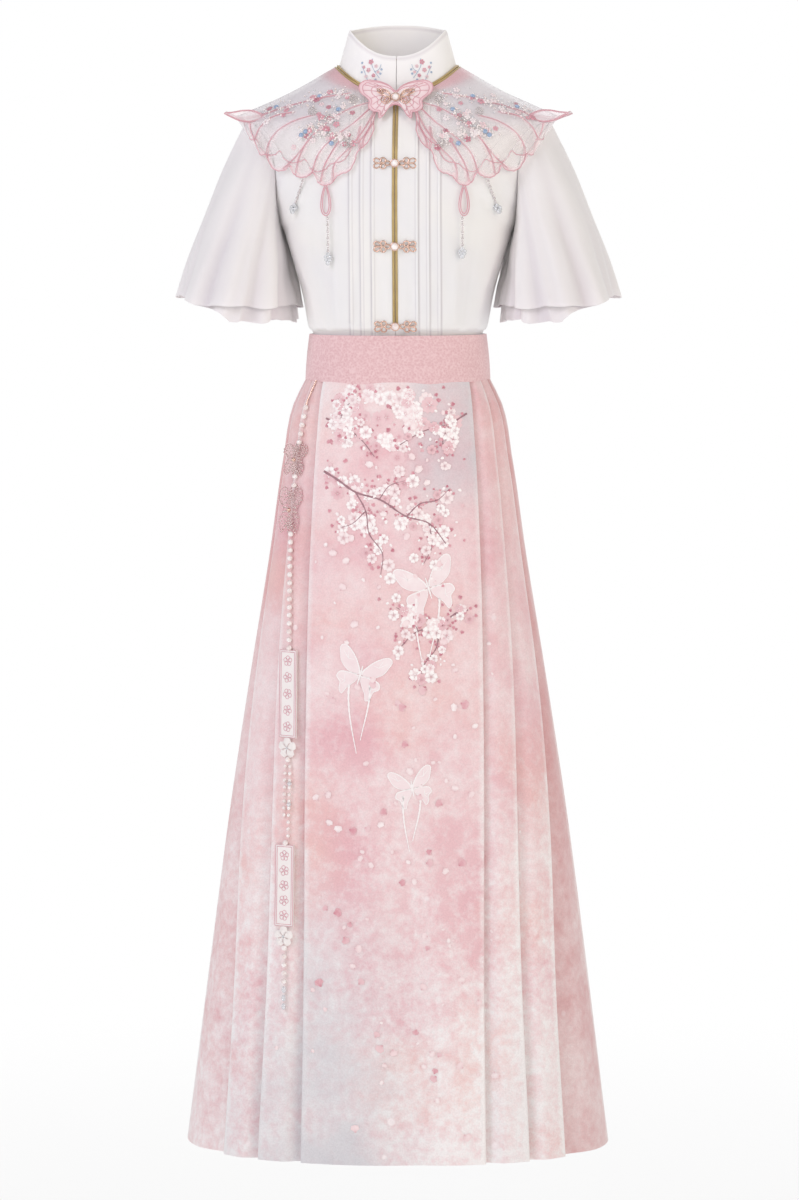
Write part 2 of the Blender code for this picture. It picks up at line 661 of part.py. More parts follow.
def build_bead_drops(crystal):
    """Each drop is turned: a thin strand that ends in a faceted crystal, just in front of the blouse."""
    turns = np.linspace(0, 2 * math.pi, DROP_SIDES, endpoint=False)[:, None]
    for number, (side, start_x, start_z, end_x, end_z, forward) in enumerate(BEAD_DROPS, start=1):
        ends = []
        for across, height in ((start_x * MM, start_z * MM), (end_x * MM, end_z * MM)):
            ends.append(np.array((side * across, -front_depth(across, height) - forward * MM, height)))
        start, end = ends
        axis = (end - start) / np.linalg.norm(end - start)
        over = np.cross(axis, (0, 1, 0))
        over /= np.linalg.norm(over)
        ahead = np.cross(axis, over)
        spread = over * np.cos(turns) + ahead * np.sin(turns)
        bm = bmesh.new()
        rings = []
        for share, radius in DROP_PROFILE:
            row = start + (end - start) * share + spread * radius * MM
            rings.append([bm.verts.new(point) for point in row])
        for lower, upper in zip(rings, rings[1:]):
            for j in range(DROP_SIDES):
                k = (j + 1) % DROP_SIDES
                bm.faces.new((lower[j], lower[k], upper[k], upper[j]))
        for cap in (rings[0], rings[-1]):
            bm.faces.new(cap)
        facing_out(bm)
        mesh = bpy.data.meshes.new(f"bead_drop_{number}")
        bm.to_mesh(mesh)
        bm.free()
        add_object(f"bead_drop_{number}", mesh, crystal)


class PendantPlace:
    """A place on the pendant's line: where it is, and which ways are across, out of the skirt and down."""

    def __init__(self, height, lift):
        heights, across = (np.array(column, float) * MM for column in zip(*PENDANT_LINE))
        section = SkirtSection(height)
        target = -np.interp(height, heights[::-1], across[::-1])
        x, y = section.point(section.length, section.outside + SEAM_GAP + lift)
        front = x[: len(x) // 2]
        along = np.interp(target, front, section.length[: len(x) // 2])
        x, y = section.point(along, section.outside + SEAM_GAP + lift)
        out = [np.interp(along, section.length, section.normal[:, i]) for i in (0, 1)]
        self.place = np.array((-x, y, height))
        self.out = np.array((-out[0], out[1], 0))
        self.across = np.array((-self.out[1], self.out[0], 0))


def pendant_plate(name, top, height, outline, material):
    """A flat ornament against the skirt, from its outline about its own middle."""
    middle = PendantPlace(top - height / 2, 0)
    above = PendantPlace(top, 0)
    below = PendantPlace(top - height, 0)
    up = (above.place - below.place) / height
    back = max(0, ((above.place + below.place) / 2 - middle.place) @ middle.out)
    bm = bmesh.new()
    points = [middle.place + middle.out * back + middle.across * x + up * z for x, z in outline]
    face = bm.faces.new([bm.verts.new(point) for point in points])
    made = bmesh.ops.extrude_face_region(bm, geom=[face])
    moved = [item for item in made["geom"] if isinstance(item, bmesh.types.BMVert)]
    bmesh.ops.translate(bm, verts=moved, vec=middle.out * ORNAMENT_WALL)
    facing_out(bm)
    mesh = bpy.data.meshes.new(name)
    bm.to_mesh(mesh)
    bm.free()
    return add_object(name, mesh, material)


def ornament_outline(kind, height):
    if kind == "plaque":
        wide, corner = PLAQUE_HALF_WIDTH * MM, 1.2 * MM
        tall = height / 2
        return [
            (wide - corner, tall), (wide, tall - corner), (wide, corner - tall), (wide - corner, -tall),
            (corner - wide, -tall), (-wide, corner - tall), (-wide, tall - corner), (corner - wide, tall),
        ]
    if kind == "flower":
        turns = np.linspace(0, 2 * math.pi, FLOWER_COLUMNS, endpoint=False)
        petal = np.abs(np.cos(2.5 * turns)) ** 0.8
        petal[FLOWER_COLUMNS // 2] = 1  # the stalk that carries the next strand
        radius = height / 2 * (FLOWER_NOTCH + (1 - FLOWER_NOTCH) * petal)
        return [(r * math.sin(turn), r * math.cos(turn)) for r, turn in zip(radius, turns)]
    half = [(x * PENDANT_BUTTERFLY_HALF_WIDTH * MM, z * height / 2) for x, z in PENDANT_BUTTERFLY]
    return [tuple(point) for point in smooth_loop(half + [(-x, z) for x, z in half[-2:0:-1]], 32)]


def build_pendant(pearl_white, satin_pink, satin_white):
    colours = {"butterfly": satin_pink, "plaque": satin_white, "flower": satin_white}
    top = PENDANT_LINE[0][0] * MM
    for name, kind, piece_height in PENDANT_PIECES:
        height = piece_height * MM
        if kind == "strand":
            count = max(3, round(height / STRAND_STEP) + 1)
            levels = np.linspace(top, top - height, count)
            points = [PendantPlace(level, STRAND_RADIUS + SEAM_GAP).place for level in levels]
            cord(name, points, STRAND_RADIUS, pearl_white, rounding=0)
        else:
            pendant_plate(name, top, height, ornament_outline(kind, height), colours[kind])
        top -= height + PENDANT_GAP


def main():
    for item in list(bpy.data.objects):
        bpy.data.objects.remove(item)
    skirt_pink = finish("printed_skirt_cloth", "E6C3C8", 0.75)
    band_pink = finish("jacquard_band", "DDB4BC", 0.8)
    white = finish("white_blouse_cloth", "F2F0EE", 0.7)
    chiffon = finish("white_chiffon", "F3F1F0", 0.65)
    sheer = finish("sheer_organza", "E9DCE0", 0.5)
    gold = finish("gold_piping", "A8905A", 0.4, 0.6)
    rose_gold = finish("rose_gold_wire", "C08A6A", 0.3, 1.0)
    pearl_white = finish("pearl", "F1EAE4", 0.2)
    satin_pink = finish("pink_satin_stitch", "D99AA8", 0.5)
    satin_white = finish("white_satin_stitch", "F3ECEA", 0.5)
    crystal = finish("clear_crystal", "E8EEF2", 0.05)
    build_skirt(skirt_pink)
    build_waistband(band_pink)
    build_blouse(white)
    build_collar(white, gold)
    build_sleeves(chiffon)
    build_capelet(sheer)
    build_ribbons(gold)
    build_clasps(rose_gold, pearl_white)
    build_patch(satin_pink, rose_gold, pearl_white)
    build_bead_drops(crystal)
    build_pendant(pearl_white, satin_pink, satin_white)


main()
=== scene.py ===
"""The looks of a worn hanfu set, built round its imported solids: a printed horse-face skirt with its
waistband and pearl pendant, and a white blouse with a stand collar, double sleeves and a winged capelet.

Metres, +Z up, the front faces -Y and +X is the wearer's left. The file follows the set as it is put
together, one section for each piece or group of like pieces."""

import math

import bmesh
import bpy
import numpy as np
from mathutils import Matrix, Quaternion, Vector
from mathutils.bvhtree import BVHTree


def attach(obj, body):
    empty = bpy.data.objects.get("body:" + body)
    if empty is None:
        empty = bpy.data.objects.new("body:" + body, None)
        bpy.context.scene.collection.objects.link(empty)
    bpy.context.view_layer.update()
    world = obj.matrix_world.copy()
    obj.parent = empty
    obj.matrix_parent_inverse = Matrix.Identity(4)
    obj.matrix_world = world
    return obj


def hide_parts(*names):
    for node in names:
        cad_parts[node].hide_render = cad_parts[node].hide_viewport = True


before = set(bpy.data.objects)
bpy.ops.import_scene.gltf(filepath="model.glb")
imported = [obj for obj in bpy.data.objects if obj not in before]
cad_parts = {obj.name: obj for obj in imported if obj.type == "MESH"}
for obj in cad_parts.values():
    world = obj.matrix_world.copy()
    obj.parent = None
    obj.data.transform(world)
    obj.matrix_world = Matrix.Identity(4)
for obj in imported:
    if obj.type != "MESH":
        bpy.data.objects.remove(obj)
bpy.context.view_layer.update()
MM = 0.001


# Skirt: front and back panels and the pleats of both sides
# The real one is two overlapping lengths of soft satin-backed cloth with a watercolour print. The flat
# "horse faces" lie over knife pleats that are pressed towards the sides and sewn into the waistband.
SQUARENESS = 2.3
SKIRT_WALL = 0.9 * MM
BAND_FOOT = -53.3
HEM = -973.0
GAP_AT_WAIST = 2.2 * MM
GAP_AT_HEM = 5.2 * MM
SHARE_TUCKED = 0.45
TURNED_UNDER = 0.16
SKIRT_ROWS = 62
SHARP_FROM = math.radians(55)
# height, half_width, depth, panel_edge, fold_1, fold_2, fold_3
SKIRT_TABLE = (
    (-53.3, 110.5, 90.0, 49.5, 63.0, 75.0, 83.5),
    (-80.0, 124.0, 99.0, 44.5, 60.5, 74.0, 83.5),
    (-150.0, 138.0, 108.0, 41.5, 58.5, 74.5, 84.0),
    (-260.0, 154.0, 119.0, 38.5, 56.0, 74.5, 84.5),
    (-400.0, 177.0, 133.0, 33.5, 50.5, 71.0, 84.5),
    (-560.0, 202.0, 147.0, 29.0, 44.0, 63.5, 84.5),
    (-750.0, 227.5, 161.0, 25.5, 39.0, 56.0, 84.5),
    (-973.0, 256.0, 174.0, 23.0, 36.5, 51.5, 85.0),
)
# Soft troughs and ridges of the cloth as it hangs: where each starts and ends, how wide, how high.
# across_0, height_0, across_1, height_1, width, rise
PANEL_DRAPE = (
    (-38, -70, -62, -520, 16, -1.6),
    (22, -62, 18, -300, 12, 1.1),
    (44, -90, 66, -640, 20, -1.8),
    (-8, -330, -20, -973, 24, 1.5),
    (-84, -420, -96, -973, 15, -2.0),
    (52, -600, 84, -973, 18, 2.1),
    (10, -640, 30, -973, 26, -1.7),
)


def read_table(table, keys):
    """The columns of a table at these values of its first column, along smooth curves."""
    table = np.array(table, float)
    table = table[table[:, 0].argsort()]
    x, y = table[:, 0], table[:, 1:]
    keys = np.asarray(keys, float)
    slope = np.gradient(y, x, axis=0)
    i = np.clip(np.searchsorted(x, keys) - 1, 0, len(x) - 2)
    span = (x[i + 1] - x[i])[:, None]
    t = (keys - x[i])[:, None] / span
    start = (2 * t**3 - 3 * t**2 + 1) * y[i] + (t**3 - 2 * t**2 + t) * slope[i] * span
    return start + (3 * t**2 - 2 * t**3) * y[i + 1] + (t**3 - t**2) * slope[i + 1] * span


def squared_oval(half_width, front, back, degrees, squareness=SQUARENESS):
    """A place on a squared oval, turned from the centre front towards the wearer's left."""
    turn = np.radians(degrees)
    power = 2 / np.asarray(squareness, float)
    x = half_width * np.sign(np.sin(turn)) * np.abs(np.sin(turn)) ** power
    depth = np.where(np.cos(turn) >= 0, front, back)
    return x, -depth * np.sign(np.cos(turn)) * np.abs(np.cos(turn)) ** power


def relief(across, height, creases):
    """How far soft ridges and troughs move the cloth at each place, in metres."""
    total = np.zeros(np.broadcast(across, height).shape)
    for x0, z0, x1, z1, width, rise in np.array(creases) * MM:
        dx, dz = x1 - x0, z1 - z0
        t = ((across - x0) * dx + (height - z0) * dz) / (dx**2 + dz**2)
        near = np.clip(t, 0, 1)
        away = np.hypot(across - x0 - near * dx, height - z0 - near * dz)
        total = total + rise * np.exp(-((away / width) ** 2)) * (0.35 + 0.65 * np.sin(math.pi * near) ** 0.6)
    return total


def placed(name, data):
    """An object in the scene with this mesh, curve, light or camera."""
    made = bpy.data.objects.new(name, data)
    bpy.context.scene.collection.objects.link(made)
    return made


def cloth_wall(name, outer, inner, material, ring=False, fields=None):
    """A closed thin wall between two grids of points, with a cloth map and fields that vary over it."""
    rows, columns = outer.shape[:2]
    spans = columns if ring else columns - 1
    flat = np.concatenate([outer.reshape(-1, 3), inner.reshape(-1, 3)])
    i, j = np.meshgrid(np.arange(rows - 1), np.arange(spans), indexing="ij")
    k = (j + 1) % columns
    a, b, c, d = i * columns + j, i * columns + k, (i + 1) * columns + k, (i + 1) * columns + j
    skin = np.stack([a, b, c, d], axis=-1).reshape(-1, 4)
    count = rows * columns
    faces = [skin, skin[:, ::-1] + count]
    for row, turn in ((0, 1), (rows - 1, -1)):
        j = np.arange(spans)
        k = (j + 1) % columns
        rim = np.stack([row * columns + j, row * columns + j + count, row * columns + k + count,
                        row * columns + k], axis=-1)
        faces.append(rim[:, ::turn])
    if not ring:
        for column, turn in ((0, -1), (columns - 1, 1)):
            i = np.arange(rows - 1)
            rim = np.stack([i * columns + column, i * columns + column + count,
                            (i + 1) * columns + column + count, (i + 1) * columns + column], axis=-1)
            faces.append(rim[:, ::turn])
    mesh = bpy.data.meshes.new(name)
    mesh.from_pydata(flat.tolist(), [], np.concatenate(faces).tolist())
    bm = bmesh.new()
    bm.from_mesh(mesh)
    bmesh.ops.recalc_face_normals(bm, faces=bm.faces)
    if bm.calc_volume(signed=True) < 0:
        bmesh.ops.reverse_faces(bm, faces=bm.faces)
    bm.to_mesh(mesh)
    bm.free()
    step = np.linalg.norm(np.diff(outer, axis=1, prepend=outer[:, :1]), axis=2)
    drop = np.linalg.norm(np.diff(outer, axis=0, prepend=outer[:1]), axis=2)
    place = np.stack([np.cumsum(step, axis=1), -np.cumsum(drop, axis=0)], axis=-1).reshape(-1, 2)
    corners = np.empty(len(mesh.loops), np.int32)
    mesh.loops.foreach_get("vertex_index", corners)
    cloth_map = mesh.uv_layers.new(name="cloth")
    cloth_map.data.foreach_set("uv", np.concatenate([place, place])[corners].astype(np.float32).ravel())
    for field, values in (fields or {}).items():
        whole = np.broadcast_to(values, (rows, columns)).reshape(-1)
        layer = mesh.attributes.new(field, "FLOAT", "POINT")
        layer.data.foreach_set("value", np.concatenate([whole, whole]).astype(np.float32))
    mesh.materials.append(material)
    mesh.shade_smooth()
    mesh.set_sharp_from_angle(angle=SHARP_FROM)
    return placed(name, mesh)


def side_of(grid, ring=False, away_from=None):
    """A unit normal at each point of a grid, turned away from a point inside the form."""
    around = np.roll(grid, -1, axis=1) - np.roll(grid, 1, axis=1) if ring else np.gradient(grid, axis=1)
    normal = np.cross(around, np.gradient(grid, axis=0))
    normal /= np.maximum(np.linalg.norm(normal, axis=2, keepdims=True), 1e-12)
    if away_from is not None and ((grid - np.array(away_from)) * normal).sum() < 0:
        normal = -normal
    return normal


def settle(piece, slot, *nodes):
    """The piece moves with the set and stands for these nodes. The slot is not used."""
    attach(piece, "root")
    if nodes:
        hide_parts(*nodes)
    return piece


def colour(code):
    """An sRGB hex colour as linear values with alpha."""
    parts = [int(code[i:i + 2], 16) / 255 for i in (0, 2, 4)]
    return [c / 12.92 if c <= 0.04045 else ((c + 0.055) / 1.055) ** 2.4 for c in parts] + [1.0]


def output_of(source):
    """An output as it is, or a node's first output that is in use."""
    return source if isinstance(source, bpy.types.NodeSocket) else next(o for o in source.outputs if o.enabled)


def add(tree, kind, inputs=(), **settings):
    """Adds a node with its settings. Each input is a value, an output, or a node with one output in use."""
    made = tree.nodes.new(kind)
    for name, value in settings.items():
        setattr(made, name, value)
    for key, value in dict(inputs).items():
        if isinstance(value, (bpy.types.Node, bpy.types.NodeSocket)):
            tree.links.new(output_of(value), made.inputs[key])
        else:
            made.inputs[key].default_value = value
    return made


def new_material(name, roughness, **sockets):
    """A material with its shader's plain sockets set. It returns the material, its tree and its shader."""
    material = bpy.data.materials.new(name)
    material.use_nodes = True
    shader = material.node_tree.nodes["Principled BSDF"]
    shader.inputs["Roughness"].default_value = roughness
    for socket, value in sockets.items():
        shader.inputs[socket.replace("_", " ")].default_value = value
    return material, material.node_tree, shader


def link_looks(tree, shader, base, height=None, strength=0.3, depth=0.3 * MM):
    """Gives the shader its colour, and a fine relief of this depth where a height is given."""
    tree.links.new(output_of(base), shader.inputs["Base Color"])
    if height:
        bump = add(tree, "ShaderNodeBump", {"Height": height, "Strength": strength, "Distance": depth})
        tree.links.new(bump.outputs["Normal"], shader.inputs["Normal"])


# Satin-backed crepe, printed: matt, with a soft sheen along the folds, helped there by a painted highlight,
# and a fine uneven weave. The real threads are 0.15 mm apart, too fine to show, so the weave is drawn at about
# 1.3 mm.
print_cloth, tree, shader = new_material("printed_crepe_satin", 0.62, Sheen_Weight=0.25, Sheen_Roughness=0.4,
                                         Specular_IOR_Level=0.3)
place = add(tree, "ShaderNodeTexCoord").outputs["Object"]
field = {name: add(tree, "ShaderNodeAttribute", attribute_name=name).outputs["Fac"]
         for name in ("fade", "grey", "rose", "spots")}
clouds = add(tree, "ShaderNodeTexNoise", {"Vector": place, "Scale": 8.0, "Detail": 4.0, "Roughness": 0.55})
mottle = add(tree, "ShaderNodeTexNoise", {"Vector": place, "Scale": 30.0, "Detail": 9.0, "Roughness": 0.68,
                                          "Distortion": 0.12})
speck = add(tree, "ShaderNodeTexNoise", {"Vector": place, "Scale": 520.0, "Detail": 3.0, "Roughness": 0.7})
tone = add(tree, "ShaderNodeMapRange", {"Value": clouds, "From Min": 0.36, "From Max": 0.64})
drift = add(tree, "ShaderNodeTexNoise", {"Vector": place, "Scale": 5.0, "Detail": 2.0})
peach = add(tree, "ShaderNodeMapRange", {"Value": drift, "From Min": 0.45, "From Max": 0.62})
hue = add(tree, "ShaderNodeMix", {0: peach, 6: colour("E8B7BD"), 7: colour("EFC6C1")},
          data_type="RGBA")
pink = add(tree, "ShaderNodeMix", {0: tone, 6: hue, 7: colour("F0D1D2")},
           data_type="RGBA")
# The rose field brings the print's deep rose, and painted shade in the valley beside each pleat fold.
rose_print_and_valley_shade = add(tree, "ShaderNodeMix", {0: field["rose"], 6: pink, 7: colour("D9A5A6")},
           data_type="RGBA")
deep = add(tree, "ShaderNodeMapRange", {"Value": mottle, "From Min": 0.56, "From Max": 0.70,
                                        "To Max": 0.45})
blotch = add(tree, "ShaderNodeMath", {0: deep, 1: field["spots"]}, operation="MULTIPLY")
warm = add(tree, "ShaderNodeMix", {0: blotch, 6: rose_print_and_valley_shade, 7: colour("E0A9AE")},
           data_type="RGBA")
lift = add(tree, "ShaderNodeMath", {0: mottle, 1: -0.5}, operation="ADD")
foliage = add(tree, "ShaderNodeTexNoise", {"Vector": place, "Scale": 105.0, "Detail": 5.0, "Roughness": 0.6})
cloudy = add(tree, "ShaderNodeMath", {0: clouds, 1: 0.9, 2: -0.45}, operation="MULTIPLY_ADD")
leafy = add(tree, "ShaderNodeMath", {0: foliage, 1: 1.3, 2: -0.65}, operation="MULTIPLY_ADD")
rough = add(tree, "ShaderNodeMath", {0: lift, 1: 1.65, 2: leafy},
            operation="MULTIPLY_ADD")
wash = add(tree, "ShaderNodeMath", {0: rough, 1: field["spots"], 2: field["fade"]},
           operation="MULTIPLY_ADD")
wash = add(tree, "ShaderNodeMath", {0: wash, 1: cloudy}, operation="ADD")
cover = add(tree, "ShaderNodeMapRange", {"Value": wash, "From Min": 0.06, "From Max": 1.05})
white = add(tree, "ShaderNodeMix", {0: cover, 6: warm, 7: colour("F8F2F1")},
            data_type="RGBA")
patchy = add(tree, "ShaderNodeMath", {0: tone, 1: 0.6, 2: 0.4}, operation="MULTIPLY_ADD")
ash = add(tree, "ShaderNodeMath", {0: field["grey"], 1: patchy}, operation="MULTIPLY")
misty = add(tree, "ShaderNodeMix", {0: ash, 6: white, 7: colour("CDCBD0")},
            data_type="RGBA")
cells = add(tree, "ShaderNodeTexVoronoi", {"Vector": place, "Scale": 24.0, "Randomness": 1.0})
split = add(tree, "ShaderNodeSeparateColor", {"Color": cells.outputs["Color"]})
size = add(tree, "ShaderNodeMath", {0: split.outputs[0], 1: 0.26, 2: -0.12}, operation="MULTIPLY_ADD")
inside = add(tree, "ShaderNodeMath", {0: size, 1: cells}, operation="SUBTRACT")
glint = add(tree, "ShaderNodeMapRange", {"Value": inside, "From Min": -0.02, "From Max": 0.05,
                                         "To Max": 0.75}, interpolation_type="SMOOTHSTEP")
petals = add(tree, "ShaderNodeMath", {0: glint, 1: field["spots"]}, operation="MULTIPLY")
dotted = add(tree, "ShaderNodeMix", {0: petals, 6: misty, 7: colour("F8EEEF")},
             data_type="RGBA")
grain = add(tree, "ShaderNodeMapRange", {"Value": speck, "From Min": 0.3, "From Max": 0.7,
                                         "To Min": 0.92, "To Max": 1.05})
tinted = add(tree, "ShaderNodeVectorMath", {0: dotted, 1: grain},
             operation="MULTIPLY")
link_looks(tree, shader, tinted, speck, 0.25, 0.4 * MM)


class SkirtLevel:
    """One level section of the skirt: its innermost layer's line, by length from the centre front."""

    def __init__(self, height):
        half_width, depth, *turns = read_table(SKIRT_TABLE, [height / MM])[0]
        share = (height / MM - BAND_FOOT) / (HEM - BAND_FOOT)
        self.height = height
        self.gap = GAP_AT_WAIST + (GAP_AT_HEM - GAP_AT_WAIST) * share
        inset = 2 * self.gap + SKIRT_WALL / 2
        degrees = np.linspace(0, 180, 721)
        half_width, depth = half_width * MM - inset, depth * MM - inset
        self.line = np.stack(squared_oval(half_width, depth, depth, degrees), axis=1)
        step = np.linalg.norm(np.diff(self.line, axis=0), axis=1)
        self.length = np.concatenate([[0], np.cumsum(step)])
        tangent = np.gradient(self.line, axis=0)
        tangent /= np.linalg.norm(tangent, axis=1, keepdims=True)
        self.normal = np.stack([tangent[:, 1], -tangent[:, 0]], axis=1)
        sway = 0.35 * np.sin(np.arange(4) * 1.7 + share * 5.0 + np.arange(4) * share * 2.0) * share
        self.folds = np.interp(np.array(turns) + sway, degrees, self.length)

    def points(self, along, lift):
        """The places this far along from the centre front, and this far out from the innermost layer."""
        along = np.asarray(along)
        place = np.stack([np.interp(along, self.length, self.line[:, i]) for i in (0, 1)], axis=1)
        out = np.stack([np.interp(along, self.length, self.normal[:, i]) for i in (0, 1)], axis=1)
        return place + out * np.asarray(lift)[:, None]


def fold_round(fold, gap):
    """A pressed fold: the cloth comes in on the outer level and leaves on the middle one."""
    turn = np.radians((90, 50, 10, -35, -90))
    return [(fold - gap / 2 + gap / 2 * math.cos(a), 1.5 * gap + gap / 2 * math.sin(a)) for a in turn]


def pleat_line(level):
    """One side's pleats from under the front panel to under the back one, as (along, lift, strip)."""
    gap, folds, whole = level.gap, level.folds, level.length[-1]
    half = [(folds[0] * (1 - TURNED_UNDER), 0, 0), (folds[0], 0, 0)]
    for strip, (before, fold) in enumerate(zip(folds, folds[1:]), start=1):
        tucked = SHARE_TUCKED * (fold - before)
        crest = fold - tucked - gap
        for t in (0.1, 0.24, 0.4, 0.55, 0.7, 0.85, 1.0):
            # Points just beyond the previous fold carry a mark (0.12) for the painted shade in the valley
            # there.
            valley_shade = strip + 0.12 * (t < 0.2)
            half.append((before + MM + (crest - before - MM) * t, 2 * gap * (3 * t * t - 2 * t**3), valley_shade))
        for t in (0.25, 0.5, 0.75):
            half.append((crest + (fold - gap / 2 - crest) * t, 2 * gap, strip))
        half += [(along, lift, strip + 0.25) for along, lift in fold_round(fold, gap)]
        half += [(fold - tucked * t, gap, strip + 0.5) for t in (0.35, 0.7, 1.0)]
        half += [(fold - tucked - gap / 2, gap / 2, strip + 0.5), (fold - tucked, 0, strip + 0.5)]
        half += [(fold - tucked * t, 0, strip + 0.5) for t in (0.6, 0.2)]
        half.append((fold + 0.6 * MM, 0, strip + 0.5))
    middle = [(whole / 2, 0, 4)]
    back = [(whole - along, lift, 7 - strip // 1 + strip % 1) for along, lift, strip in reversed(half)]
    return np.array(half + middle + back)


def panel_line(level):
    """The front panel from its folded right edge to its folded left one, as (along, lift, strip)."""
    gap, edge = level.gap, level.folds[0]
    turned = edge * (1 - TURNED_UNDER)
    shares = (0, 0.08, 0.16, 0.24, 0.32, 0.4, 0.48, 0.56, 0.64, 0.72, 0.8, 0.87, 0.93)
    half = [(edge * share, 2 * gap, 0) for share in shares]
    half += [(along, lift, 0.25) for along, lift in fold_round(edge, gap)]
    half += [(turned + (edge - turned) * 0.4, gap, 0.5), (turned + gap, gap, 0.5)]
    return np.array([(-along, lift, strip) for along, lift, strip in reversed(half[1:])] + half)


def smooth_loop(points, count):
    """A closed smooth curve through the points, cut into equal shares of its parameter."""
    points = np.array(points)
    places = np.linspace(0, len(points), count, endpoint=False)
    index = places.astype(int)
    t = (places - index)[:, None]
    a, b, c, d = (points[(index + k) % len(points)] for k in (-1, 0, 1, 2))
    return 0.5 * (2 * b + (c - a) * t + (2 * a - 5 * b + 4 * c - d) * t**2 + (3 * b - a - 3 * c + d) * t**3)


def soft_step(value, low, high):
    """A smooth rise from 0 to 1 between two values."""
    t = np.clip((value - low) / (high - low), 0, 1)
    return t * t * (3 - 2 * t)


def print_fields(places, strips, side):
    """Where the print is washed out, grey, deep rose or strewn with petals, with a painted highlight on the
    pressed folds and painted shade in the valleys beside them.
    """
    x, z = places[..., 0], places[..., 2]
    down = (z / MM - BAND_FOOT) / (HEM - BAND_FOOT)
    across = x / (110 * MM)
    on_panel = strips < 0.9
    outer = np.clip(np.minimum(strips // 1, 7 - strips // 1) - 1, 0, 2) / 2
    top = (1 - soft_step(down, 0.0, 0.12)) * 0.4
    foot = soft_step(down - 0.03 * across, 0.58, 0.98)
    plain_outer = 0.6 if side == 1 else 0.25
    fade = np.where(on_panel, 0.2 + top + 0.66 * foot,
                    0.2 + 0.6 * soft_step(down, 0.42, 0.93) * (1 - plain_outer * outer))
    # Painted highlight: the columns round each pressed fold, on the panels and the pleats, are made paler.
    folded = np.isclose(np.modf(strips)[0], 0.25)
    fade = fade + 0.42 * folded
    if side == 1:
        fade = np.where(on_panel, fade, fade + 0.04 * soft_step(down, 0.35, 0.75) * (1 - outer))
    grey = np.where(on_panel, 0.95 * foot * soft_step(-across, -0.7, 0.5),
                    (0.15 if side == 1 else 0.7) * soft_step(down, 0.7, 0.95) * (1 - outer))
    grey = grey + np.where(on_panel, 1.1 * (1 - soft_step(down, 0.08, 0.19)) * soft_step(across, 0.0, 0.4), 0)
    rose = np.where(on_panel, 0.0, soft_step(outer, 0.62, 0.98) * (0.95 if side == 1 else 0.4))
    rose = rose + np.where(on_panel, 0, 0.22 * (1 - soft_step(down, 0.1, 0.5)))
    # Painted shade: the valley just beyond each pressed fold takes the deeper rose.
    rose = rose + 0.55 * np.isclose(np.modf(strips)[0], 0.12)
    spots = 0.45 + 0.75 * soft_step(down, 0.2, 0.75)
    spots = spots * (1 - plain_outer * np.where(on_panel, 0, soft_step(outer, 0.6, 1)))
    return {"fade": fade, "grey": np.clip(grey, 0, 1), "rose": np.clip(rose, 0, 1), "spots": spots}


def skirt_piece(name, line_of, side, depth_sign):
    """A wall of cloth through the same line at each height, thickest where it hangs free."""
    heights = np.linspace(BAND_FOOT, HEM, SKIRT_ROWS) * MM
    outer, inner, strips = [], [], []
    for height in heights:
        level = SkirtLevel(height)
        along, lift, strip = line_of(level).T
        share = (height / MM - BAND_FOOT) / (HEM - BAND_FOOT)
        reach = along / level.length[-1]
        sway = np.sin(reach * 23 + side * 0.8 + share * 3.0)
        sway = sway + 0.6 * np.sin(reach * 41 - share * 4.0 + depth_sign)
        rows = level.points(np.abs(along), lift + sway * 0.9 * MM * share**1.3)
        rows[:, 0] *= np.where(along < 0, -1, 1)
        if line_of is panel_line:
            rows[:, 1] -= relief(rows[:, 0], np.full(len(rows), height), PANEL_DRAPE)
        tangent = np.gradient(rows, axis=0)
        tangent /= np.linalg.norm(tangent, axis=1, keepdims=True)
        across = np.stack([tangent[:, 1], -tangent[:, 0]], axis=1) * SKIRT_WALL / 2
        for sign, grid in ((1, outer), (-1, inner)):
            line = rows + sign * across
            grid.append(np.stack([side * line[:, 0], depth_sign * line[:, 1], np.full(len(line), height)],
                                 axis=1))
        strips.append(strip)
    outer, inner = np.array(outer), np.array(inner)
    fields = print_fields(outer, np.array(strips), side if line_of is pleat_line else 0)
    return cloth_wall(name, outer, inner, print_cloth, fields=fields)


front_panel = skirt_piece("front_panel", panel_line, 1, 1)
back_panel = skirt_piece("back_panel", panel_line, 1, -1)
pleats_left = skirt_piece("pleats_left", pleat_line, 1, 1)
pleats_right = skirt_piece("pleats_right", pleat_line, -1, 1)
for piece, node, cut_width in (
    (front_panel, "skirt_front_panel", 0.27), (back_panel, "skirt_back_panel", 0.27),
    (pleats_left, "skirt_pleats_left", 0.86), (pleats_right, "skirt_pleats_right", 0.86),
):
    settle(piece, "printed_skirt_cloth", node)


# Print of the skirt: branches, blossoms and drifting petals
# The real print is dyed into the cloth. Here it is flat shapes that are pressed onto the cloth, a fraction
# of a millimetre in front of it. The layout is this script's own: sprays of plain blossom and butterflies.
PRINT_LIFT = 0.15 * MM
WING_LIFT = 0.45 * MM
STROKE_LIFT = 0.54 * MM
rng = np.random.default_rng(11)


def joined(name, pieces):
    """One helper object that holds the meshes of several pieces."""
    bm = bmesh.new()
    for piece in pieces:
        bm.from_mesh(piece.data)
    mesh = bpy.data.meshes.new(name)
    bm.to_mesh(mesh)
    bm.free()
    return placed(name, mesh)


def seen(helper):
    """A tree of the helper's faces, to find places on it."""
    mesh = helper.data
    return BVHTree.FromPolygons([v.co for v in mesh.vertices], [tuple(p.vertices) for p in mesh.polygons])


def land(tree, across, height, lift=0.0, way=1):
    """The first place on a form seen straight from the front (way 1) or the back (-1), and its normal."""
    place, normal, _, _ = tree.ray_cast(Vector((across, -0.8 * way, height)), Vector((0, way, 0)))
    if place is None:
        place, normal, _, _ = tree.find_nearest(Vector((across, -0.09 * way, height)))
    if normal.y * way > 0:
        normal = -normal
    return place + normal * lift, normal


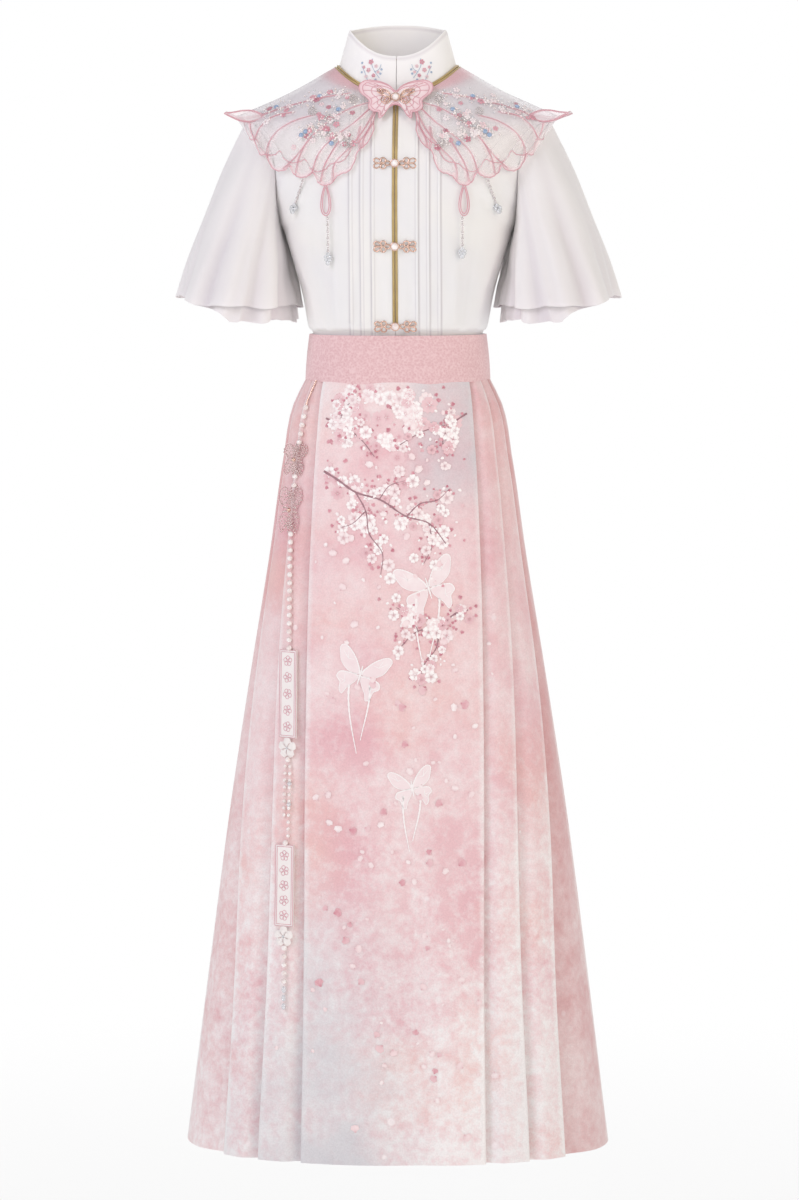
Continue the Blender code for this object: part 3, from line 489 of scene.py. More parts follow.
# One tree makes all repeated shapes. Each point carries its turn, size and tint, and the shapes may be
# pressed onto a cloth along a direction.
copy_tree = bpy.data.node_groups.new("copies_on_points", "GeometryNodeTree")
for name, kind in (
    ("Points", "NodeSocketGeometry"), ("Shape", "NodeSocketObject"), ("Cloth", "NodeSocketObject"),
    ("Aim", "NodeSocketVector"), ("Lay on cloth", "NodeSocketBool"),
    ("Smooth", "NodeSocketBool"), ("Material", "NodeSocketMaterial"),
):
    copy_tree.interface.new_socket(name, in_out="INPUT", socket_type=kind)
copy_tree.interface.new_socket("Copies", in_out="OUTPUT", socket_type="NodeSocketGeometry")
given = add(copy_tree, "NodeGroupInput").outputs
shape = add(copy_tree, "GeometryNodeObjectInfo", {"Object": given["Shape"]})
cloth = add(copy_tree, "GeometryNodeObjectInfo", {"Object": given["Cloth"]})
turn = add(copy_tree, "GeometryNodeInputNamedAttribute", {"Name": "turn"}, data_type="FLOAT_VECTOR")
size = add(copy_tree, "GeometryNodeInputNamedAttribute", {"Name": "size"}, data_type="FLOAT_VECTOR")
rise = add(copy_tree, "GeometryNodeInputNamedAttribute", {"Name": "rise"}, data_type="FLOAT")
euler = add(copy_tree, "FunctionNodeEulerToRotation", {"Euler": turn})
instances = add(copy_tree, "GeometryNodeInstanceOnPoints", {
    "Points": given["Points"], "Instance": shape.outputs["Geometry"], "Rotation": euler,
    "Scale": size})
real = add(copy_tree, "GeometryNodeRealizeInstances", {"Geometry": instances})
ray = add(copy_tree, "GeometryNodeRaycast", {
    "Target Geometry": cloth.outputs["Geometry"], "Ray Direction": given["Aim"], "Ray Length": 1.0})
lifted = add(copy_tree, "ShaderNodeVectorMath", {
    0: ray.outputs["Hit Normal"], 1: rise, 2: ray.outputs["Hit Position"]},
    operation="MULTIPLY_ADD")
laid = add(copy_tree, "FunctionNodeBooleanMath", {0: ray.outputs["Is Hit"], 1: given["Lay on cloth"]},
           operation="AND")
pressed = add(copy_tree, "GeometryNodeSetPosition", {
    "Geometry": real, "Selection": laid, "Position": lifted})
soft = add(copy_tree, "GeometryNodeSetShadeSmooth", {
    "Geometry": pressed, "Shade Smooth": given["Smooth"]})
dressed = add(copy_tree, "GeometryNodeSetMaterial", {
    "Geometry": soft, "Material": given["Material"]})
add(copy_tree, "NodeGroupOutput", {"Copies": dressed})


def copies(name, shape, spots, material, onto=None, aim=(0, 1, 0), smooth=True):
    """Copies of a shape at spots of (place, normal, spin, size, tint), made into one mesh piece."""
    mesh = bpy.data.meshes.new(name)
    mesh.from_pydata([tuple(spot[0]) for spot in spots], [], [])
    turns, sizes = [], []
    for _, normal, spin, scale, _ in spots:
        facing = Vector(normal).to_track_quat("Z", "Y") @ Quaternion((0, 0, 1), spin)
        turns += list(facing.to_euler())
        sizes += list(scale) if isinstance(scale, tuple) else [scale] * 3
    for field, values in (("turn", turns), ("size", sizes)):
        mesh.attributes.new(field, "FLOAT_VECTOR", "POINT").data.foreach_set("vector", values)
    rises = PRINT_LIFT * (1 + 4 * np.linspace(0, 1, len(spots)))
    for field, values in (("tint", [spot[4] for spot in spots]), ("rise", rises)):
        mesh.attributes.new(field, "FLOAT", "POINT").data.foreach_set("value", values)
    holder = placed(name, mesh)
    modifier = holder.modifiers.new("copies", "NODES")
    modifier.node_group = copy_tree
    values = {"Shape": shape, "Cloth": onto or shape, "Aim": aim, "Lay on cloth": onto is not None,
              "Smooth": smooth, "Material": material}
    for socket in copy_tree.interface.items_tree:
        if socket.in_out == "INPUT" and socket.name in values:
            modifier[socket.identifier] = values[socket.name]
    depsgraph = bpy.context.evaluated_depsgraph_get()
    made = bpy.data.meshes.new_from_object(
        holder.evaluated_get(depsgraph), preserve_all_data_layers=True, depsgraph=depsgraph)
    bpy.data.objects.remove(holder)
    return placed(name, made)


def fan(name, petals, half_angle, notch, dome=0.0):
    """A flat flower or petal of radius 1, with fields for its heart and its soft rim."""
    angles, shares = np.linspace(-1, 1, 5), (0.12, 0.62, 1.0)
    points, faces, heart, rim = [], [], [], []
    for petal in range(petals):
        first = len(points)
        for share in shares:
            for a in angles:
                reach = share * (1 - 0.30 * abs(a) ** 3 - notch * math.exp(-((a / 0.3) ** 2)) * (share > 0.9))
                turn = 2 * math.pi * petal / petals + a * half_angle * (0.55 + 0.45 * share)
                points.append((reach * math.sin(turn), reach * math.cos(turn),
                               dome * math.sin(math.pi * share)))
                heart.append(1 - share)
                rim.append(1.0 if share == 1.0 or abs(a) == 1 else 0.0)
        for i in range(2):
            for j in range(4):
                k = first + i * 5 + j
                faces.append((k, k + 5, k + 6, k + 1))
    mesh = bpy.data.meshes.new(name)
    mesh.from_pydata(points, [], faces)
    for field, values in (("heart", heart), ("rim", rim)):
        mesh.attributes.new(field, "FLOAT", "POINT").data.foreach_set("value", values)
    return placed(name, mesh)


# Dye on crepe: flat colour that is deep in a blossom's heart and soft at its rim, broken by the weave.
dye, tree, shader = new_material("printed_dye", 0.62, Sheen_Weight=0.2, Specular_IOR_Level=0.2)
place = add(tree, "ShaderNodeTexCoord").outputs["Object"]
tint, heart, rim = [add(tree, "ShaderNodeAttribute", attribute_name=name).outputs["Fac"]
                    for name in ("tint", "heart", "rim")]
wash = add(tree, "ShaderNodeTexNoise", {"Vector": place, "Scale": 210.0, "Detail": 4.0, "Roughness": 0.7})
base = add(tree, "ShaderNodeValToRGB", {"Fac": tint})
stops = base.color_ramp.elements
stops[0].color, stops[1].color = colour("C67D8B"), colour("FFFCFA")
for at, code in ((0.3, "DB99A4"), (0.6, "F6DFE0")):
    stops.new(at).color = colour(code)
core = add(tree, "ShaderNodeMath", {0: heart, 1: 4.0}, operation="POWER")
deep = add(tree, "ShaderNodeMix", {0: core, 6: base, 7: colour("C67585")},
           data_type="RGBA")
worn = add(tree, "ShaderNodeMapRange", {"Value": wash, "From Min": 0.35, "From Max": 0.65,
                                        "To Min": 0.3, "To Max": -0.3})
sunk = add(tree, "ShaderNodeMath", {0: rim, 1: 0.4, 2: worn}, operation="MULTIPLY_ADD",
           use_clamp=True)
blended = add(tree, "ShaderNodeMix", {0: sunk, 6: deep, 7: colour("EFD0D2")},
              data_type="RGBA")
link_looks(tree, shader, blended)

skirt_cloth = joined("skirt_cloth_helper", (front_panel, back_panel, pleats_left, pleats_right))
skirt_form = seen(skirt_cloth)
# Each branch: across and height at points along it, and its width at the start.
BRANCHES = (
    (((-84, -160), (-70, -168), (-46, -184), (-18, -192), (14, -212), (40, -220), (60, -244)), 2.6),
    (((-46, -184), (-34, -206), (-30, -232), (-14, -256), (-16, -280)), 1.7),
    (((-34, -206), (-52, -222), (-66, -226)), 1.2),
    (((14, -212), (30, -197), (50, -193), (64, -180)), 1.5),
    (((-18, -192), (-6, -176), (12, -170)), 1.1),
    (((40, -220), (44, -246), (34, -268)), 1.3),
    (((86, -322), (72, -326), (52, -342), (28, -346), (6, -366)), 2.2),
    (((52, -342), (50, -364), (34, -388), (30, -410)), 1.4),
    (((28, -346), (20, -330), (2, -318)), 1.2),
    (((-82, -98), (-66, -104), (-40, -122), (-24, -142)), 2.0),
    (((-66, -104), (-58, -84), (-44, -74)), 1.2),
    (((84, -92), (64, -104), (34, -112), (6, -128)), 2.0),
    (((64, -104), (56, -124), (62, -142)), 1.2),
)


def drawn(points, count):
    """A smooth open curve through these places."""
    points = np.array(points, float)
    steps = np.concatenate([[0], np.cumsum(np.linalg.norm(np.diff(points, axis=0), axis=1))])
    keys = np.linspace(0, steps[-1], count)
    return read_table(np.column_stack([steps, points]), keys)


def flat_print(name, points, faces, material, way):
    """A flat shape on the cloth whose faces all look out, to the front (way 1) or the back (-1)."""
    mesh = bpy.data.meshes.new(name)
    mesh.from_pydata(points, [], faces)
    bm = bmesh.new()
    bm.from_mesh(mesh)
    bmesh.ops.reverse_faces(bm, faces=[face for face in bm.faces if face.normal.y * way > 0])
    bm.to_mesh(mesh)
    bm.free()
    mesh.materials.append(material)
    mesh.shade_smooth()
    return placed(name, mesh)


def strip(name, lines, material, tree, way):
    """Flat strokes of (points, width in mm) laid on a form, thinner towards their ends."""
    points, faces = [], []
    for line, width in lines:
        curve = drawn(line, 5 * len(line))
        ahead = np.gradient(curve, axis=0)
        ahead /= np.linalg.norm(ahead, axis=1, keepdims=True)
        for i, ((x, z), (dx, dz)) in enumerate(zip(curve, ahead)):
            half = width / 2 * (1 - 0.65 * i / len(curve)) * (1 + 0.25 * math.sin(i * 2.1))
            for sign in (1, -1):
                across, height = (x - sign * dz * half) * MM, (z + sign * dx * half) * MM
                points.append(land(tree, across, height, STROKE_LIFT, way)[0])
            if i:
                k = len(points) - 4
                faces.append((k, k + 1, k + 3, k + 2))
    return flat_print(name, points, faces, material, way)


def two_tone(name, roughness, scale, codes, detail=2.0, **sockets):
    """A material whose colour drifts between two tones, in clouds of about 1 / scale metres."""
    material, tree, shader = new_material(name, roughness, **sockets)
    place = add(tree, "ShaderNodeTexCoord").outputs["Object"]
    clouds = add(tree, "ShaderNodeTexNoise", {"Vector": place, "Scale": scale, "Detail": detail})
    tone = add(tree, "ShaderNodeMix", {0: clouds, 6: colour(codes[0]), 7: colour(codes[1])},
               data_type="RGBA")
    link_looks(tree, shader, tone)
    return material


# Branch ink: a mauve brown, printed thin so that the weave breaks it. The butterflies' lines are a milky
# white, and their wings a paler pink than the ground.
bark = two_tone("printed_branch", 0.65, 160.0, ("845F69", "BE949B"), 4.0, Specular_IOR_Level=0.2)
white_dye = two_tone("white_printed_line", 0.6, 190.0, ("F9EDEC", "FFFDFC"), Sheen_Weight=0.2,
                     Specular_IOR_Level=0.2)
veil_dye = two_tone("pale_printed_wing", 0.6, 70.0, ("EFD5D8", "FBF2F1"), 4.0, Sheen_Weight=0.2,
                    Specular_IOR_Level=0.2)

CLUMPS = 15
SMALL_PETALS = 34
FALLEN_PETALS = 30
PALE_SPOTS = 170
blossom = fan("blossom_shape", 5, 0.68, 0.12)
petal = fan("petal_shape", 1, 0.8, 0.04)


# Butterflies: across, height, half width, tilt. Each wing is an outline in shares of the half width.
BUTTERFLIES = ((40, -296, 34, 0.3), (-40, -398, 31, -0.3), (22, -530, 25, 0.2))
UPPER_WING = ((0.05, 0.05), (0.2, 0.4), (0.5, 0.74), (0.84, 0.94), (1.02, 0.84), (0.95, 0.55), (0.8, 0.26),
              (0.45, 0.04))
LOWER_WING = ((0.05, -0.04), (0.42, -0.02), (0.76, -0.08), (0.84, -0.3), (0.66, -0.46), (0.62, -0.72),
              (0.48, -0.86), (0.36, -0.6), (0.18, -0.36))


def on_one_fold(across, height, reach, way=1):
    """Whether a motif this wide lies on one fold only, so that it isn't stretched over an edge."""
    rays = [(Vector((across + d, -0.8 * way, height + e)), Vector((0, way, 0)))
            for d, e in ((0, 0), (-reach, 0), (reach, 0), (0, -reach), (0, reach))]
    places = [skirt_form.ray_cast(*ray)[0] for ray in rays]
    return None not in places and max(abs(places[0].y - place.y) for place in places) < 0.4 * reach + 0.6 * MM


def printed(spots, way):
    """The spots of (across, height, size, tint) as places in front of the skirt's front or back."""
    facing = (0, -way, 0)
    return [((x * MM, -0.35 * way, z * MM), facing, rng.uniform(0, 6.283), size * MM, tint)
            for x, z, size, tint in spots if on_one_fold(x * MM, z * MM, size * MM, way)]


for way, where in ((1, "front"), (-1, "back")):
    flowers, loose = [], []
    for x0, z0 in zip(rng.uniform(-84, 84, CLUMPS), -60 - 76 * rng.beta(1.1, 1.5, CLUMPS)):
        for x, z in rng.normal((x0, z0), (9, 7), (7, 2)):
            flowers.append((x, z, rng.uniform(6.0, 11.5), rng.choice((0.5, 0.85, 1.0, 1.0))))
        for x, z in rng.normal((x0, z0), (14, 10), (7, 2)):
            loose.append((x, z, rng.uniform(3.5, 6.5), rng.choice((0.0, 0.1, 0.25, 0.4, 1.0))))
    for line, width in BRANCHES:
        for x, z in drawn(line, int(3.4 * len(line))):
            x = x * way
            if rng.random() < 0.8:
                flowers.append((*rng.normal((x, z), 7), rng.uniform(5.0, 9.0),
                                rng.choice((0.45, 0.8, 1.0, 1.0))))
            for _ in range(3):
                loose.append((*rng.normal((x, z), 8), rng.uniform(3.0, 5.5),
                              rng.choice((0.0, 0.12, 0.3, 1.0))))
    for x, z in zip(rng.uniform(-88, 88, SMALL_PETALS), rng.uniform(-330, -60, SMALL_PETALS)):
        loose.append((x, z, rng.uniform(3.5, 6), rng.choice((0.05, 0.3, 0.5, 0.9))))
    for x, z in zip(rng.uniform(-100, 100, FALLEN_PETALS), rng.uniform(-880, -400, FALLEN_PETALS)):
        loose.append((x, z, rng.uniform(6.5, 11.5), rng.uniform(0.32, 0.55)))
    for x, z in zip(rng.uniform(-250, 250, PALE_SPOTS), rng.uniform(-940, -90, PALE_SPOTS)):
        loose.append((x * (0.45 + 0.55 * -z / 940), z, rng.uniform(3.5, 11.0), rng.uniform(0.6, 0.86)))
    for label, shape, spots in (("blossom", blossom, flowers), ("petals", petal, loose)):
        piece = copies(f"print_{label}_{where}", shape, printed(spots, way), dye, skirt_cloth, (0, way, 0))
        settle(piece, "printed_skirt_cloth")
    lines = [([(x * way, z) for x, z in line], width) for line, width in BRANCHES]
    settle(strip(f"print_branches_{where}", lines, bark, skirt_form, way), "printed_skirt_cloth")

    # Three line-drawn butterflies, with streamers that drift down from them.
    fills, outlines = [], []
    for x0, z0, size, tilt in BUTTERFLIES:
        for sign in (1, -1):
            for wing in (UPPER_WING, LOWER_WING):
                turned = [(size * (sign * x * math.cos(tilt) - z * math.sin(tilt)),
                           size * (sign * x * math.sin(tilt) + z * math.cos(tilt)))
                          for x, z in smooth_loop(wing, 18)]
                edge = [(way * x0 + x, z0 + z) for x, z in turned]
                fills.append(edge)
                outlines.append((edge + edge[:1], 1.6))
                middle = np.mean(edge, axis=0)
                for k in (3, 6, 9):
                    outlines.append(([tuple(middle), tuple((middle + 2 * np.array(edge[k])) / 3)], 0.9))
        for reach in (0.75, -0.75):
            outlines.append(([(way * x0 - reach * size * math.sin(tilt) * s,
                               z0 + reach * size * math.cos(tilt) * s)
                              for s in (0, 0.25, 0.5)], 2.6))
        for shift, reach in ((-0.22, 2.6), (0.16, 2.1)):
            bend = [(way * x0 + size * (shift + 0.22 * math.sin(2.4 * s + shift * 9)),
                     z0 - size * (0.35 + reach * s))
                    for s in np.linspace(0, 1, 7)]
            outlines.append((bend, 2.6))
    settle(strip(f"print_butterfly_lines_{where}", outlines, white_dye, skirt_form, way),
           "printed_skirt_cloth")
    points, faces = [], []
    for edge in fills:
        middle, first, count = np.mean(edge, axis=0), len(points), len(edge)
        for share in (0.15, 0.6, 1.0):
            for spot in edge:
                x, z = middle + (np.array(spot) - middle) * share
                points.append(land(skirt_form, x * MM, z * MM, WING_LIFT, way)[0])
        faces.append(tuple(range(first, first + count)))
        for ring in (0, 1):
            for j in range(count):
                k = (j + 1) % count
                a = first + ring * count
                faces.append((a + j, a + k, a + count + k, a + count + j))
    wings = flat_print(f"print_butterfly_wings_{where}", points, faces, veil_dye, way)
    settle(wings, "printed_skirt_cloth")


# Waistband
# A straight band of fine dusty-pink jacquard over stiffening, 53 mm deep. It holds the pleats, and
# dips a little at the centre front.
BAND_DEPTH = 53 * MM
BAND_DIP = 4.5 * MM
BAND_WALL = 2.4 * MM
# Jacquard: matt, with small lighter and darker flecks where the pattern's threads float. They are under
# a millimetre on the real band, and are drawn at about 2 mm.
jacquard, tree, shader = new_material("fine_pink_jacquard", 0.75, Sheen_Weight=0.3, Specular_IOR_Level=0.25)
place = add(tree, "ShaderNodeTexCoord").outputs["Object"]
flecks = add(tree, "ShaderNodeTexNoise", {"Vector": place, "Scale": 420.0, "Detail": 5.0, "Roughness": 0.8})
figure = add(tree, "ShaderNodeTexVoronoi", {"Vector": place, "Scale": 430.0}, feature="SMOOTH_F1")
mixed = add(tree, "ShaderNodeMath", {0: flecks, 1: figure},
            operation="ADD")
tone = add(tree, "ShaderNodeMapRange", {"Value": mixed, "From Min": 0.65, "From Max": 1.2})
pink = add(tree, "ShaderNodeMix", {0: tone, 6: colour("DDB2B5"), 7: colour("EBCACB")},
           data_type="RGBA")
link_looks(tree, shader, pink, mixed, 0.35, 0.5 * MM)

degrees = np.linspace(0, 360, 200, endpoint=False)
face = np.abs(np.cos(np.radians(degrees)))
grids = []
for inset in (0, BAND_WALL):
    rows = []
    for share in np.linspace(0, 1, 15):
        belly = 0.7 * MM * math.sin(math.pi * share)
        half_width = 106 * MM + 4.8 * MM * share + belly - inset
        depth = 85.6 * MM + 5.6 * MM * share + belly - inset
        x, y = squared_oval(half_width, depth, depth, degrees)
        height = -(BAND_DEPTH + BAND_DIP * np.maximum(np.cos(np.radians(degrees)), 0) ** 1.5) * share
        ripple = 0.35 * MM * np.sin(np.radians(degrees) * 9 + share * 2) * share
        rows.append(np.stack([x * (1 + ripple), y - ripple * np.sign(y) * face, height - 0.6 * MM * face],
                             axis=1))
    grids.append(np.array(rows))
waistband = cloth_wall("waistband_cloth", grids[0], grids[1], jacquard, ring=True)
settle(waistband, "jacquard_band", "waistband")


# Blouse fronts and back
# Fine off-white slub silk-look cloth, cut as two fronts and a back, sewn at the shoulders and sides.
# Three pin tucks run down each front, and the hem is tucked into the waistband.
BLOUSE_WALL = 0.8 * MM
TUCKS = (27, 40, 53)
SIDES = (("left", 1), ("right", -1))
# side_z, front_z, back_z, half_width, front_depth, back_depth, armhole
BODY_RINGS = (
    (-30, -30, -30, 101.4, 80.8, 81.2, 0),
    (2.0, 2.0, 2.0, 101.6, 81.0, 81.4, 0),
    (9, 9, 9, 107.0, 88.0, 86.0, 0),
    (50, 50, 50, 115.0, 96.0, 90.0, 0),
    (95, 95, 95, 127.5, 106.0, 97.0, 0),
    (130, 130, 132, 139.0, 113.0, 102.0, 0),
    (165, 164, 168, 150.0, 115.0, 105.0, 20),
    (200, 196, 204, 159.0, 112.0, 106.0, 27),
    (230, 220, 238, 169.0, 105.5, 104.0, 27),
    (250, 236, 260, 176.0, 98.0, 98.0, 18),
    (258, 248, 274, 178.0, 91.0, 91.0, 0),
    (284, 266, 299, 124.0, 77.0, 75.0, 0),
    (316, 283, 328, 70.5, 62.0, 57.0, 0),
)
RING_STEPS = (3, 3, 7, 7, 6, 6, 6, 6, 4, 3, 5, 5)
# across_0, height_0, across_1, height_1, width, rise
FRONT_CREASES = (
    (66, 0, 74, 96, 5, 1.5), (78, 2, 96, 120, 6, -1.9), (90, 4, 110, 92, 5, 1.6), (99, 10, 118, 70, 4, -1.3),
    (62, 168, 84, 60, 9, -1.5), (88, 190, 132, 136, 6, 1.5), (98, 172, 134, 120, 5, -1.6),
    (122, 208, 138, 160, 5, 1.4), (110, 226, 142, 196, 6, -1.2), (33, 6, 34, 120, 3.5, 0.7),
    (9, 4, 8, 60, 4, 0.8), (17, 8, 19, 84, 4, -0.7), (46, 2, 48, 66, 4, -0.8), (58, 0, 60, 40, 3, 0.9),
    (70, 236, 110, 222, 8, 1.2), (20, 150, 21, 240, 5, 0.6), (104, 60, 122, 108, 4, 1.1),
)
BACK_CREASES = (
    (14, 0, 10, 90, 6, 1.6), (40, 0, 34, 120, 7, -1.8), (66, 2, 60, 100, 6, 1.5), (88, 4, 96, 84, 5, -1.4),
    (104, 150, 128, 112, 6, 1.5), (96, 196, 136, 160, 7, -1.5), (60, 230, 110, 200, 9, 1.4),
    (24, 120, 28, 220, 8, -1.0),
)

# Slub silk: soft white with a faint lilac shade, low sheen, and thick threads that run across the cloth.
# The slubs are 0.3 mm thick on the real cloth, and are drawn at about 1 mm.
slub_silk, tree, shader = new_material("white_slub_silk", 0.55, Sheen_Weight=0.35, Sheen_Roughness=0.35,
                                       Specular_IOR_Level=0.35, Subsurface_Weight=0.3,
                                       Subsurface_Radius=(1, 1, 1),
                                       Subsurface_Scale=0.003)
place = add(tree, "ShaderNodeTexCoord").outputs["UV"]
spread = add(tree, "ShaderNodeMapping", {"Vector": place, "Scale": (60.0, 1100.0, 1.0)})
slubs = add(tree, "ShaderNodeTexNoise", {"Vector": spread, "Scale": 1.0, "Detail": 3.0})
body = add(tree, "ShaderNodeTexNoise", {"Vector": add(tree, "ShaderNodeTexCoord").outputs["Object"],
                                        "Scale": 11.0,
                                        "Detail": 2.0})
tint = add(tree, "ShaderNodeMapRange", {"Value": body, "From Min": 0.35, "From Max": 0.65})
milk = add(tree, "ShaderNodeMix", {0: tint, 6: colour("F5F2EF"), 7: colour("F0EEEF")},
           data_type="RGBA")
# The line field darkens the collar's seam, and paints shade into the crease beside each pin tuck.
line = add(tree, "ShaderNodeAttribute", attribute_name="line").outputs["Fac"]
seam_and_crease_shade = add(tree, "ShaderNodeMix", {0: line, 6: milk, 7: colour("CFC8CC")}, data_type="RGBA")
link_looks(tree, shader, seam_and_crease_shade, slubs)


def ring_places(rings, degrees, squareness=SQUARENESS):
    """Points of rings whose height runs from the side's to the front's or the back's. Values are in mm."""
    side_z, front_z, back_z, half_width, front, back = [rings[..., i] * MM for i in range(6)]
    x, y = squared_oval(half_width, front, back, degrees, squareness)
    turn = np.cos(np.radians(degrees))
    end_z = np.where(turn >= 0, front_z, back_z)
    return np.stack([x, y, side_z + (end_z - side_z) * turn**2], axis=-1)


def angle_at(across, half_width):
    """The angle from the centre front at which a squared oval is this far across."""
    return np.degrees(np.arcsin(np.clip(across / half_width, 0, 1) ** (SQUARENESS / 2)))


levels = np.concatenate([
    np.linspace(i, i + 1, steps, endpoint=False) for i, steps in enumerate(RING_STEPS)]
    + [[len(BODY_RINGS) - 1]])
numbered = [(i, *ring) for i, ring in enumerate(BODY_RINGS)]
body_rings = read_table(numbered, levels)
body_rings[:, 6] = np.interp(levels, range(len(BODY_RINGS)), [ring[6] for ring in BODY_RINGS])
# Each pin tuck rises 1.3 mm, and painted shade marks the crease on each side of it.
tuck_across, tuck_rise, tuck_crease_shade = [0.3, 4, 9, 14, 19], [0, 0, 0, 0, 0], [0, 0, 0, 0, 0]
for tuck in TUCKS:
    tuck_across += [tuck - 4.2, tuck - 3.0, tuck - 2.4, tuck - 1.0, tuck, tuck + 0.35, tuck + 3.0]
    tuck_rise += [0, 0.55, 0.95, 1.25, 1.3, 0, 0]
    tuck_crease_shade += [0, 0.5, 0, 0, 0.1, 0.85, 0]
for name, side in SIDES:
    turns = []
    for ring in body_rings:
        near = angle_at(np.array(tuck_across), ring[3])
        turns.append(np.concatenate([near, np.linspace(near[-1], 90 - ring[6], 30)[1:]]))
    turns = np.array(turns)
    grid = ring_places(body_rings[:, None, :], turns)
    rise = np.concatenate([np.array(tuck_rise) * MM, np.zeros(29)])
    rise = rise + 1.5 * relief(grid[..., 0], grid[..., 2], FRONT_CREASES)
    normal = side_of(grid, away_from=(0, 0, 0.1))
    settle_down = soft_step(grid[..., 2], 0.004, 0.02)[..., None]
    outer = grid + normal * rise[..., None] * settle_down
    inner = outer - normal * BLOUSE_WALL
    lines = np.broadcast_to(np.concatenate([tuck_crease_shade, np.zeros(29)]), turns.shape)
    turned = np.array((side, 1, 1))
    piece = cloth_wall(f"blouse_front_{name}_cloth", outer * turned, inner * turned, slub_silk,
                       fields={"line": lines})
    settle(piece, "white_blouse_cloth", f"blouse_front_{name}")
turns = np.array([np.linspace(90 + ring[6] + 0.25, 270 - ring[6] - 0.25, 75) for ring in body_rings])
grid = ring_places(body_rings[:, None, :], turns)
normal = side_of(grid, away_from=(0, 0, 0.1))
rise = 1.4 * relief(np.abs(grid[..., 0]), grid[..., 2], BACK_CREASES) * soft_step(grid[..., 2], 0.004, 0.02)
outer = grid + normal * rise[..., None]
blouse_back = cloth_wall("blouse_back_cloth", outer, outer - normal * BLOUSE_WALL, slub_silk,
                         fields={"line": 0.0})
settle(blouse_back, "white_blouse_cloth", "blouse_back")


# Sleeves
# Two layers of white chiffon, cut as flared circles and sewn into the armhole. The under layer is a
# little longer towards the body, and both fall in soft flutes that open towards the hem.
SLEEVE_WALL = 0.7 * MM
HEM_CENTRE = (193 * MM, 2 * MM)
HEM_HALF = (69 * MM, 98 * MM)
HEM_OUTER_Z = 45 * MM
HEM_INNER_Z = 33 * MM
# count, size, phase
FLUTES = ((8, 5.0 * MM, 0.6), (13, 2.2 * MM, 2.1), (21, 0.9 * MM, 0.3))
UNDER_DROP = (16.5 * MM, -4 * MM)
PULLED_BACK = 22 * MM
SLEEVE_COLUMNS = 216
SLEEVE_ROWS = 44

# Chiffon: white, matt and very fine, with a painted lilac-pink shade in the flute valleys and over the whole
# under layer. Its crinkled yarns are 0.1 mm, and are drawn as a soft grain of about 1 mm.
chiffon, tree, shader = new_material("white_chiffon", 0.7, Sheen_Weight=0.4, Sheen_Roughness=0.5,
                                     Specular_IOR_Level=0.2, Subsurface_Weight=0.3,
                                     Subsurface_Radius=(1, 1, 1),
                                     Subsurface_Scale=0.003)
place = add(tree, "ShaderNodeTexCoord").outputs["Object"]
grain = add(tree, "ShaderNodeTexNoise", {"Vector": place, "Scale": 900.0, "Detail": 2.0})
veil = add(tree, "ShaderNodeTexNoise", {"Vector": place, "Scale": 14.0, "Detail": 3.0})
# The depth field is painted shade: it darkens the flute valleys and the under layer.
depth = add(tree, "ShaderNodeAttribute", attribute_name="depth").outputs["Fac"]
shade = add(tree, "ShaderNodeMath", {0: veil, 1: 0.3, 2: depth}, operation="MULTIPLY_ADD",
            use_clamp=True)
painted_fold_shade = add(tree, "ShaderNodeMix", {0: shade, 6: colour("F6F2F1"), 7: colour("DED6DA")},
            data_type="RGBA")
link_looks(tree, shader, painted_fold_shade, grain, 0.15, 0.2 * MM)


armhole = np.array(BODY_RINGS[5:11], float)
head_front = ring_places(armhole[::-1], 90 - armhole[::-1, 6])
head_back = ring_places(armhole[1:-1], 90 + armhole[1:-1, 6])
head = smooth_loop(np.concatenate([head_front, head_back]), SLEEVE_COLUMNS) + np.array((0.9 * MM, 0, 0))
turn = np.linspace(0, 2 * math.pi, SLEEVE_COLUMNS, endpoint=False)
outwards = np.cos(turn)
spread = np.stack([outwards, -np.sin(turn), np.zeros_like(turn)], axis=1)


def sleeve_layer(first_share, drop, inset, shift):
    """Rings from the armhole to the hem, with flutes that open downwards. It returns the grid, its normals and
    the painted shade of the flute valleys.
    """
    flute = sum(size * np.cos(count * turn + phase + shift) for count, size, phase in FLUTES)
    hem_z = HEM_INNER_Z + (HEM_OUTER_Z - HEM_INNER_Z) * np.maximum(outwards, 0) ** 2
    hem_z = hem_z - (drop[0] + (drop[1] - drop[0]) * np.maximum(outwards, 0) ** 0.6)
    hem_z = hem_z + 1.6 * MM * np.sin(5 * turn + shift * 3) + 0.8 * MM * np.sin(11 * turn)
    hem = np.stack([HEM_CENTRE[0] + HEM_HALF[0] * outwards, HEM_CENTRE[1] - HEM_HALF[1] * np.sin(turn),
                    hem_z], axis=1)
    behind_arm = np.maximum(-outwards, 0) ** 0.6 * np.maximum(np.sin(turn + math.pi), 0) ** 0.5
    rows = []
    for share in np.linspace(first_share, 1, SLEEVE_ROWS):
        tuck = np.stack([-PULLED_BACK * behind_arm, 0 * turn, 0 * turn], axis=1)
        tuck = tuck * math.sin(math.pi * min(share * 0.62, 0.5))
        bulge = 7 * MM * math.sin(math.pi * share) * np.maximum(outwards, 0)
        pucker = 0.5 * MM * np.sin(46 * turn + 2 * np.sin(3 * turn)) * math.exp(-share / 0.07)
        sag = 1.3 * MM * np.sin(6 * turn + 9 * share) * math.sin(math.pi * share)
        swell = flute * share**1.6 + bulge + pucker + sag
        rows.append(head + (hem - head) * share + spread * swell[:, None] + tuck)
    grid = np.array(rows)
    normal = side_of(grid, ring=True, away_from=(0.19, 0, 0.14))
    depth_in = np.linspace(inset[0], inset[1], SLEEVE_ROWS)[:, None, None]
    valley_shade = 0.5 - 0.5 * flute / np.abs(flute).max()
    valley_shade = valley_shade**1.4 * (np.linspace(first_share, 1, SLEEVE_ROWS) ** 0.7)[:, None]
    return grid - normal * depth_in, normal, valley_shade


